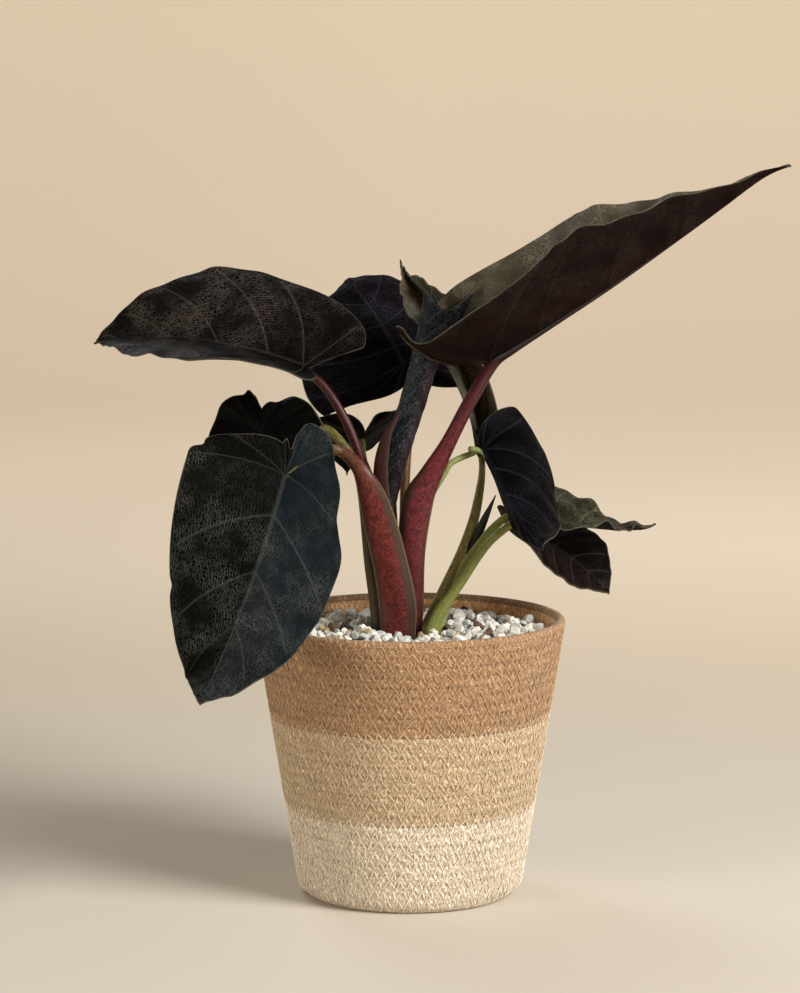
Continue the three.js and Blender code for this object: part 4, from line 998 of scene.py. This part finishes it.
def blade_material(name, roughness, specular):
    """Leaf tissue: hue and vein hue come from the mesh, the pale net from the ribs' own map. The net's pale
    colour is partly the veins' own and partly painted highlight on its raised ridges. The net comes and
    goes in broad patches, where its ridges are also glossier than the velvet between."""
    material, n, shader = new_material(name, roughness)
    net = n.add("ShaderNodeGroup", {"node_tree": net_group()}, Ribs=n.uv("ribs"), Flat=n.uv("flat"),
                Rungs=4.7, Wobble=.3, Cells=4.2)
    hue, vein_hue = n.attribute("hue", "Color"), n.attribute("vein_hue", "Color")
    vein, rim, under = n.attribute("vein"), n.attribute("rim"), n.attribute("under")
    tone, amount = n.attribute("tone"), n.attribute("net")
    ridge = n.times(net.outputs["Ridge"], amount)
    upper_share = n.minus(1.0, n.times(under, .92))
    ridge = n.times(ridge, upper_share)
    cloudy = n.noise(n.uv("flat"), .55, 3.0, .55)
    reach = n.add("ShaderNodeVectorMath", {"operation": "LENGTH"})
    n.put(reach, "0", n.uv("flat"))
    patch = n.times(n.step(n.noise(n.uv("flat"), .34, 2.0, .6), .36, .66, .12, 1.0),
                   n.step(reach.outputs["Value"], 1.5, 6.5, .2, 1.0))
    warm = n.mix(n.step(tone, -.2, .9), hue, n.tinted(hue, (1.3, .9, .84)))
    shade = n.mix(n.step(cloudy, .35, .7), n.tinted(warm, (.55, .55, .55)), warm)
    # Painted highlight: in broad patches the net's ridges take the pale vein colour, partly the veins' own
    # paleness and partly the light they catch.
    lines = n.mix(n.times(n.times(ridge, patch), .36), shade, vein_hue)
    lines = n.mix(n.times(n.times(vein, upper_share), .12), lines, vein_hue)
    edge = n.step(rim, .9, .25)
    colour = n.mix(n.times(edge, .5), lines, (.11, .105, .075, 1))
    n.put(shader, "Base Color", colour)
    grain = n.noise(n.uv("flat"), 22.0, 2.0)
    rough = n.plus(n.times(grain, .16), n.plus(roughness - .08, n.times(under, .1)))
    n.put(shader, "Roughness", n.minus(rough, n.times(ridge, .12)))
    gloss = n.plus(n.times(n.times(ridge, patch), .24), specular)
    n.put(shader, "Specular IOR Level", gloss)
    relief = n.times(net.outputs["Ridge"], n.minus(1.0, n.times(under, .45)))
    height = n.plus(n.times(relief, amount), n.times(grain, .12))
    n.bump(shader, height, .9, .0008)
    return material


def stem_material():
    """Stem skin: hue and blotch hue come from the mesh, the mottling from the stem's own map."""
    material, n, shader = new_material("mottled_stem", .42, Specular_IOR_Level=.22, Coat_Weight=.04,
                                        Coat_Roughness=.3)
    wrap = n.uv("wrap")
    marks = n.add("ShaderNodeGroup", {"node_tree": blotch_group()}, Wrap=wrap, Amount=n.attribute("blotch"))
    hue, dark = n.attribute("hue", "Color"), n.attribute("blotch_hue", "Color")
    base = n.mix(n.times(marks.outputs["Mask"], .8), hue, dark)
    base = n.mix(n.times(marks.outputs["Freckle"], .25), base, n.tinted(base, (1.7, 1.6, 1.5)))
    n.put(shader, "Base Color", base)
    lines = n.add("ShaderNodeMapping", {}, Vector=wrap, Scale=(9.0, .6, 1.0))
    fibre = n.noise(lines.outputs[0], 3.0, 3.0)
    n.put(shader, "Roughness", n.plus(n.times(fibre, .2), .3))
    n.bump(shader, fibre, .35, .0004)
    return material


def cord_material():
    """Paper cord: strands and lumps, with painted shade in the valleys and pits and painted highlight on
    the strands and crests.
    """
    material, n, shader = new_material("paper_cord", .9, Sheen_Weight=.15, Sheen_Roughness=.6)
    strands = n.add("ShaderNodeGroup", {"node_tree": strand_group()}, Wrap=n.uv("wrap"), Flat=n.uv("flat"))
    hue, depth = n.attribute("hue", "Color"), n.attribute("depth")
    dark = n.tinted(hue, (.46, .37, .29))
    pale = n.tinted(hue, (1.36, 1.34, 1.3))
    # Painted shade in the pits between strands and painted highlight on the strands and lumps.
    base = n.mix(strands.outputs["Shade"], n.mix(.95, hue, dark), n.mix(.95, hue, pale))
    cloud = n.noise(n.uv("flat"), .8, 3.0)
    base = n.mix(n.step(cloud, .35, .7, 0, .35), base, n.tinted(base, (.86, .82, .76)))
    # Painted shade in the valleys between coils and in the pinches, from the mesh's depth.
    base = n.mix(n.times(n.step(depth, .3, 1.1), .42), base, dark)
    n.put(shader, "Base Color", base)
    n.bump(shader, strands.outputs["Height"], 1.0, .0013)
    n.put(shader, "Roughness", n.plus(n.times(strands.outputs["Shade"], .1), .82))
    return material


def thread_material():
    """Sewing thread of twisted paper: fine slanting twist lines along its own length."""
    material, n, shader = new_material("sewing_thread", .85, Sheen_Weight=.1)
    hue = n.attribute("hue", "Color")
    twist = n.add("ShaderNodeMapping", {}, Vector=n.uv("wrap"), Rotation=(0, 0, .5), Scale=(1.0, 9.0, 1.0))
    lines = n.noise(twist.outputs[0], 2.0, 2.0)
    n.put(shader, "Base Color", n.mix(n.step(lines, .35, .7), n.tinted(hue, (.72, .66, .58)), hue))
    n.put(shader, "Roughness", n.plus(n.times(lines, .15), .75))
    n.bump(shader, lines, .4, .0003)
    return material


def pumice_material():
    """Pumice chips: each has its own tone from the mesh; pores, darkened with painted shade, and dusty
    specks from noise.
    """
    material, n, shader = new_material("pumice_chips", .93)
    hue = n.attribute("hue", "Color")
    where = n.add("ShaderNodeTexCoord").outputs["Object"]
    grain = n.noise(where, 900.0, 4.0, .65)
    pores = n.add("ShaderNodeTexVoronoi", {}, Vector=where, Scale=1500.0)
    pit = n.step(pores.outputs["Distance"], .34, .12)
    base = n.mix(n.step(grain, .38, .66, 0, .6), hue, n.tinted(hue, (.62, .59, .54)))
    # Painted shade inside the pores.
    base = n.mix(n.times(pit, .45), base, n.tinted(hue, (.45, .42, .38)))
    n.put(shader, "Base Color", base)
    height = n.minus(grain, n.times(pit, .6))
    n.bump(shader, height, .6, .0006)
    n.put(shader, "Roughness", n.plus(n.times(grain, .1), .85))
    return material


def crumb_material(name, low, high, scale, roughness):
    """Soil and liner: speckled noise between two colours, with a crumbly or pebbled bump."""
    material, n, shader = new_material(name, roughness)
    where = n.add("ShaderNodeTexCoord").outputs["Object"]
    grain = n.noise(where, scale, 5.0, .7)
    n.put(shader, "Base Color", n.mix(n.step(grain, .35, .65), linear(low), linear(high)))
    n.bump(shader, grain, .6, .001)
    n.put(shader, "Roughness", n.plus(n.times(grain, .2), roughness - .1))
    return material


def once(name, make):
    """The material of that name, made only if it isn't there yet."""
    return bpy.data.materials.get(name) or make()


# Settings that a user would change

def colour_prop(name, description, text):
    """A colour setting from a hexadecimal colour."""
    return bpy.props.FloatVectorProperty(name=name, description=description, subtype="COLOR", size=3,
                                         min=0, max=1, default=linear(text)[:3])


def number_prop(name, description, value, low, high, **extra):
    """A number setting with its limits."""
    return bpy.props.FloatProperty(name=name, description=description, default=value, min=low,
                                   max=high, **extra)


class AlocasiaBasketSettings(bpy.types.PropertyGroup):
    """The basket's colours and thread"""
    thread: number_prop("Thread", "Width of the sewing thread", .0007, .0003, .002, unit="LENGTH")
    tan: colour_prop("Top colour", "Colour of the top coils", "#b8936a")
    natural: colour_prop("Middle colour", "Colour of the middle coils", "#d8c3a2")
    cream: colour_prop("Bottom colour", "Colour of the bottom coils", "#f4ead8")
    thread_tint: number_prop("Thread tint", "How pale the thread is beside its cord", .14, 0, 1)


class AlocasiaPlantSettings(bpy.types.PropertyGroup):
    """The leaves' thickness"""
    thickness: number_prop("Blade thickness", "Thickness of a leaf", .0008, .0004, .002, unit="LENGTH")


class AlocasiaPumiceSettings(bpy.types.PropertyGroup):
    """Number and sizes of the pumice chips"""
    count: bpy.props.IntProperty(name="Chips", description="Number of chips in the bottom layer",
                                 default=470, min=100, max=1500)
    small: number_prop("Smallest", "Smallest chip", .006, .002, .02, unit="LENGTH")
    large: number_prop("Largest", "Largest chip", .0115, .002, .02, unit="LENGTH")


class AlocasiaStageSettings(bpy.types.PropertyGroup):
    """The floor's colour and the main light's power"""
    floor: colour_prop("Floor", "Colour of the floor and backdrop", "#cbc4b7")
    key: number_prop("Key light", "Power of the main light, in watts", 93, 0, 500)


# Operators

class ALOCASIA_OT_basket(bpy.types.Operator):
    """Builds the three bands of coils and their sewing thread"""
    bl_idname = "alocasia.basket"
    bl_label = "Basket"

    def execute(self, context):
        s = context.scene.alocasia_basket
        cord, thread = once("paper_cord", cord_material), once("sewing_thread", thread_material)
        z1 = CREAM_TOP + OVERLAP
        corner = [(float(outer_radius(np.array(z))), z) for z in (0, .25, .8, 1.8, 3.2, 5, 7.2, 9.6, 12)]
        out = lambda z: (CONE + TAPER * z, z)
        inn = lambda z: (float(inner_radius(z)), z)
        bottom = run_of([(0, 0), (58, 0)], 4) + run_of([(59, 0), (64, 0)], 1.5)
        side = run_of([out(14), out(z1)], .8)
        rest = run_of([inn(z1), inn(FLOOR + 1)], 3) + run_of([(inn(FLOOR)[0] - 1, FLOOR), (0, FLOOR)], 8)
        profile = bottom + corner + side + rest + [(0, 0)]
        relief = [0] * len(bottom) + [0, 0, .2, .5, .8, 1, 1, 1, 1] + [1] * len(side)
        relief += [0] * (len(rest) + 1)
        band = basket_band("basket_cream_coils_cord", profile, relief, cord, s.cream)
        finish_piece(band, "cream_cord", "basket_cream_coils")

        z0, z1 = CREAM_TOP - OVERLAP, NATURAL_TOP + OVERLAP
        side, inside = run_of([out(z0), out(z1)], .8), run_of([inn(z1), inn(z0)], 2)
        profile = side + inside + [side[0]]
        relief = [1] * len(side) + [0] * len(inside) + [1]
        band = basket_band("basket_natural_coils_cord", profile, relief, cord, s.natural)
        finish_piece(band, "natural_cord", "basket_natural_coils")

        z0, low = NATURAL_TOP - OVERLAP, 27 * COIL
        r = float(outer_radius(np.array((HEIGHT + low) / 2)))
        side, inside = run_of([out(z0), out(low - .4)], .8), run_of([inn(low), inn(z0)], .9)
        centre = (r - 3.0, low + 1.2)
        rim = [(centre[0] + 2.9 * math.cos(a), centre[1] + 2.95 * math.sin(a))
               for a in np.linspace(-.5, math.pi + .3, 22)]
        profile = side + rim + inside + [side[0]]
        relief = [1] * len(side) + [.35] * len(rim) + [-.6] * len(inside) + [1]
        band = basket_band("basket_tan_coils_cord", profile, relief, cord, s.tan)
        finish_piece(band, "tan_cord", "basket_tan_coils")

        width = s.thread / MM
        for band, first, colour in (("cream", 1, s.cream), ("natural", 10, s.natural), ("tan", 19, s.tan)):
            node = "basket_" + band + "_coils"
            hue = np.array(colour) + (.85 - np.array(colour)) * s.thread_tint * .5
            rings = thread_rings(node + "_thread", list(range(first, first + 9)), thread, hue, width)
            finish_piece(rings, band + "_cord", node)
        return {"FINISHED"}


class ALOCASIA_OT_leaves(bpy.types.Operator):
    """Builds every open leaf: its blade and its stem"""
    bl_idname = "alocasia.leaves"
    bl_label = "Leaves and stems"

    def execute(self, context):
        thickness = context.scene.alocasia_plant.thickness / MM
        velvet = once("velvet_blade", lambda: blade_material("velvet_blade", .56, .03))
        green = once("green_blade", lambda: blade_material("green_blade", .52, .12))
        stems = once("mottled_stem", stem_material)
        for name in LEAVES:
            slot = LEAF_SLOT.get(name, "leaf")
            finish_piece(blade(name, green if slot == "leaf_green" else velvet, thickness), slot, name)
            finish_piece(stem(name, stems), slot, name)
        spike = slim_piece("shoot_spike", SPIKE, stems, ("#11130d", "#24271a", "#080907"))
        finish_piece(spike, "leaf_green", "leaf_shoot_tall")
        return {"FINISHED"}


class ALOCASIA_OT_young_shoot(bpy.types.Operator):
    """Builds the rolled young leaf, its stalk and the bract beside it"""
    bl_idname = "alocasia.young_shoot"
    bl_label = "Young shoot"

    def execute(self, context):
        thickness = context.scene.alocasia_plant.thickness / MM
        roll = once("young_blade", lambda: blade_material("young_blade", .38, .1))
        stems = once("mottled_stem", stem_material)
        x, y, a, b = FEET["young_shoot"]
        stalk = [(x, y, STEM_FOOT, a, b), (x, y, SOIL_TOP, a, b), *ROLL_STALK]
        finish_piece(rolled_leaf(roll, thickness), "young_leaf", "young_shoot")
        stalk_piece = slim_piece("young_leaf_stalk", stalk, stems, STALK_LOOKS)
        finish_piece(stalk_piece, "young_leaf", "young_shoot")
        bract = slim_piece("young_leaf_bract", BRACT, stems, ("#2e100e", "#6a4a3c", "#1a0607"), .9, 222)
        finish_piece(bract, "young_leaf", "young_shoot")
        return {"FINISHED"}


class ALOCASIA_OT_pumice(bpy.types.Operator):
    """Spreads the pumice chips over the soil"""
    bl_idname = "alocasia.pumice"
    bl_label = "Pumice topping"

    def execute(self, context):
        s = context.scene.alocasia_pumice
        random = np.random.default_rng(4)
        material = once("pumice_chips", pumice_material)
        layers = []
        for count, low, share in ((s.count, 167.2, 1.0), (int(s.count * .8), 170.6, .98)):
            i = np.arange(count)
            size = (s.small + (s.large - s.small) * random.random(count) ** 1.5) / MM
            r = (inner_radius(172) - .6 - size * .42) * np.sqrt((i + .5) / count) * share
            angle = i * GOLDEN_ANGLE + random.normal(0, .12, count) + low
            r = r + random.normal(0, 1.1, count) * (r < 84)
            z = low + size * random.uniform(-.05, .22, count)
            layers.append(np.stack([r * np.cos(angle), r * np.sin(angle), z, size], 1))
        rows = np.concatenate(layers)
        clear = np.ones(len(rows), bool)
        for x, y, a, b in FEET.values():
            reach = rows[:, 3] * .36
            clear &= ((rows[:, 0] - x) / (a + reach)) ** 2 + ((rows[:, 1] - y) / (b + reach)) ** 2 > 1
        rows = rows[clear]
        points, faces, each = chips(rows[:, :3], rows[:, 3], 12)
        n = len(rows)
        tone = random.random(n)
        shade = random.uniform(.72, 1.12, (n, 1))
        white, cool, tan, brown, black = (np.array(linear(c)[:3]) for c in
                                          ("#e8e4da", "#d0d3cf", "#bda37e", "#5c4634", "#2c2925"))
        hue = np.where(tone[:, None] < .55, white, np.where(tone[:, None] < .87, cool, np.where(
            tone[:, None] < .94, tan, np.where(tone[:, None] < .975, brown, black)))) * shade
        hue = np.repeat(hue, each, axis=0)
        piece = write_mesh("pumice_chips", points, faces, material, {}, {}, {"hue": hue}, False)
        finish_piece(piece, "pumice", "pumice_topping")

        around, rings = 96, 14
        rr = np.linspace(0, 1, rings)[:, None] * (inner_radius(167) - .5)
        theta = np.linspace(0, TAU, around + 1)[None, :]
        top = 166.8 + swell(rr * np.cos(theta) / 5, rr * np.sin(theta) / 5, 2) * .5
        upper = np.stack([rr * np.cos(theta), rr * np.sin(theta), top], -1)
        lower = upper[::-1] * [1, 1, 0] + [0, 0, 163.5]
        grid = np.concatenate([upper, lower])[:, ::-1]
        bed_hue = np.broadcast_to(np.array(linear("#6f6a60")[:3]), grid.shape)
        bed = closed_surface("pumice_bed", grid, material, None, None, {"hue": bed_hue})
        finish_piece(bed, "pumice", "pumice_topping")
        return {"FINISHED"}


class ALOCASIA_OT_soil(bpy.types.Operator):
    """Finishes the soil and the liner that the basket holds"""
    bl_idname = "alocasia.soil"
    bl_label = "Soil and liner"

    def execute(self, context):
        finishes = {
            "soil": ("bark_soil", "#1e140d", "#4a3422", 260.0, .95),
            "liner": ("liner_plastic", "#1c1b1a", "#262423", 420.0, .55),
        }
        for name, finish in finishes.items():
            material = once(finish[0], lambda: crumb_material(*finish))
            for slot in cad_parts[name].material_slots:
                slot.material = material
        return {"FINISHED"}


class ALOCASIA_OT_stage(bpy.types.Operator):
    """Places the floor with its rounded backdrop, the lights and the camera; the floor and backdrop glow
    with painted light.
    """
    bl_idname = "alocasia.stage"
    bl_label = "Stage"

    def execute(self, context):
        scene = context.scene
        s = scene.alocasia_stage
        material, n, shader = new_material("floor_with_painted_glow", .85)
        where = n.add("ShaderNodeTexCoord").outputs["Object"]
        base = (*s.floor, 1)
        cloud = n.noise(where, 1.2, 2.0)
        near = n.mix(n.step(cloud, .3, .7, 0, .5), base, n.tinted(base, (.95, .94, .92)))
        far = n.add("ShaderNodeVectorMath", {"operation": "LENGTH"})
        n.put(far, "0", where)
        away = far.outputs["Value"]
        n.put(shader, "Base Color", n.mix(n.step(away, .25, 1.0), near, n.tinted(near, (1, .94, .84))))
        # Painted light: the floor and backdrop glow, more with distance from the middle and a little more
        # to the right, and a painted pool of light lies behind on the right.
        sideways = n.add("ShaderNodeSeparateXYZ", {}, Vector=where)
        lit = n.times(n.step(away, .7, 2.6, 0, 1), n.step(sideways.outputs[0], -1.0, 1.0, .9, 1.1))
        glow = n.add("ShaderNodeVectorMath", {"operation": "DISTANCE"})
        n.put(glow, "0", where)
        n.put(glow, "1", (.35, 1.3, 0))
        spot = n.step(glow.outputs["Value"], 1.1, .1, 0, .45)
        n.put(shader, "Emission Color", n.mix(n.plus(lit, spot), (0, 0, 0, 1), (.42, .355, .28, 1)))
        shader.inputs["Emission Strength"].default_value = 1
        # A bowl: flat to 4.2 m, then a quarter circle of 1.2 m up to a wall.
        bend = [(4200 + 1200 * math.sin(a), 1200 - 1200 * math.cos(a))
                for a in np.linspace(0, math.pi / 2, 16)]
        profile = np.array(run_of([(0, 0), (4200, 0)], 300)[:-1] + bend + [(5400, 2200)])
        theta = np.linspace(0, TAU, 97)[None, :]
        r, z = profile[:, :1], profile[:, 1:] + 0 * theta
        grid = np.stack([r * np.cos(theta), r * np.sin(theta), z], -1)
        bowl = closed_surface("floor", grid[:, ::-1], material)

        world = bpy.data.worlds.new("studio")
        scene.world = world
        world.use_nodes = True
        background = world.node_tree.nodes["Background"]
        background.inputs["Color"].default_value = (1.0, .82, .6, 1)
        background.inputs["Strength"].default_value = .165

        def area(name, place, aim, size, power, colour):
            light = bpy.data.lights.new(name, "AREA")
            light.shape, light.size, light.energy, light.color = "DISK", size, power, colour
            lamp = bpy.data.objects.new(name, light)
            lamp.location = place
            from_to = [aim[k] - place[k] for k in range(3)]
            lamp.rotation_euler = (math.atan2(math.hypot(from_to[0], from_to[1]), -from_to[2]), 0,
                                   math.atan2(from_to[0], -from_to[1]) + math.pi)
            scene.collection.objects.link(lamp)

        area("key", (1.72, -1.25, 1.3), (0, 0, .2), 1.25, s.key, (1.0, .98, .955))
        area("back", (-.9, 1.5, 1.6), (0, 0, .3), .9, s.key * .14, (.9, .95, 1.0))
        area("fill", (-1.5, -1.1, .32), (0, 0, .08), .5, s.key * .14, (1.0, .95, .88))

        data = bpy.data.cameras.new("camera")
        data.sensor_fit, data.sensor_width = "AUTO", 36
        data.lens = 36 * 3380 / 993  # the photograph's focal length is 3380 pixels
        camera = bpy.data.objects.new("camera", data)
        camera.location = (-.00647, -2.1686, .541)
        camera.rotation_euler = (math.radians(90 - 7.4), 0, 0)
        data.clip_start, data.clip_end = .05, 60
        scene.collection.objects.link(camera)
        scene.camera = camera
        scene.view_settings.view_transform = "Standard"
        return {"FINISHED"}


class ALOCASIA_PT_panel(bpy.types.Panel):
    """Lists the pieces and their settings"""
    bl_label = "Potted velvet alocasia"
    bl_idname = "ALOCASIA_PT_panel"
    bl_space_type = "VIEW_3D"
    bl_region_type = "UI"
    bl_category = "Alocasia"

    def draw(self, context):
        scene = context.scene
        for settings, operators in (
                (scene.alocasia_basket, (ALOCASIA_OT_basket,)),
                (scene.alocasia_plant, (ALOCASIA_OT_leaves, ALOCASIA_OT_young_shoot)),
                (scene.alocasia_pumice, (ALOCASIA_OT_pumice, ALOCASIA_OT_soil)),
                (scene.alocasia_stage, (ALOCASIA_OT_stage,))):
            box = self.layout.box()
            for key in settings.bl_rna.properties.keys():
                if key not in ("rna_type", "name"):
                    box.prop(settings, key)
            for operator in operators:
                box.operator(operator.bl_idname)


SETTINGS = {"alocasia_basket": AlocasiaBasketSettings, "alocasia_plant": AlocasiaPlantSettings,
            "alocasia_pumice": AlocasiaPumiceSettings, "alocasia_stage": AlocasiaStageSettings}
CLASSES = (*SETTINGS.values(), ALOCASIA_OT_basket, ALOCASIA_OT_leaves, ALOCASIA_OT_young_shoot,
           ALOCASIA_OT_pumice, ALOCASIA_OT_soil, ALOCASIA_OT_stage, ALOCASIA_PT_panel)


def register():
    """Adds the classes and the scene's settings to Blender."""
    for cls in CLASSES:
        bpy.utils.register_class(cls)
    for name, cls in SETTINGS.items():
        setattr(bpy.types.Scene, name, bpy.props.PointerProperty(type=cls))


def unregister():
    """Takes them away again."""
    for name in SETTINGS:
        delattr(bpy.types.Scene, name)
    for cls in reversed(CLASSES):
        bpy.utils.unregister_class(cls)


def main():
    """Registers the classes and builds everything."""
    register()
    bpy.ops.alocasia.stage()
    bpy.ops.alocasia.basket()
    bpy.ops.alocasia.soil()
    bpy.ops.alocasia.pumice()
    bpy.ops.alocasia.leaves()
    bpy.ops.alocasia.young_shoot()
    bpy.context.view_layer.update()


if __name__ == "__main__":
    main()
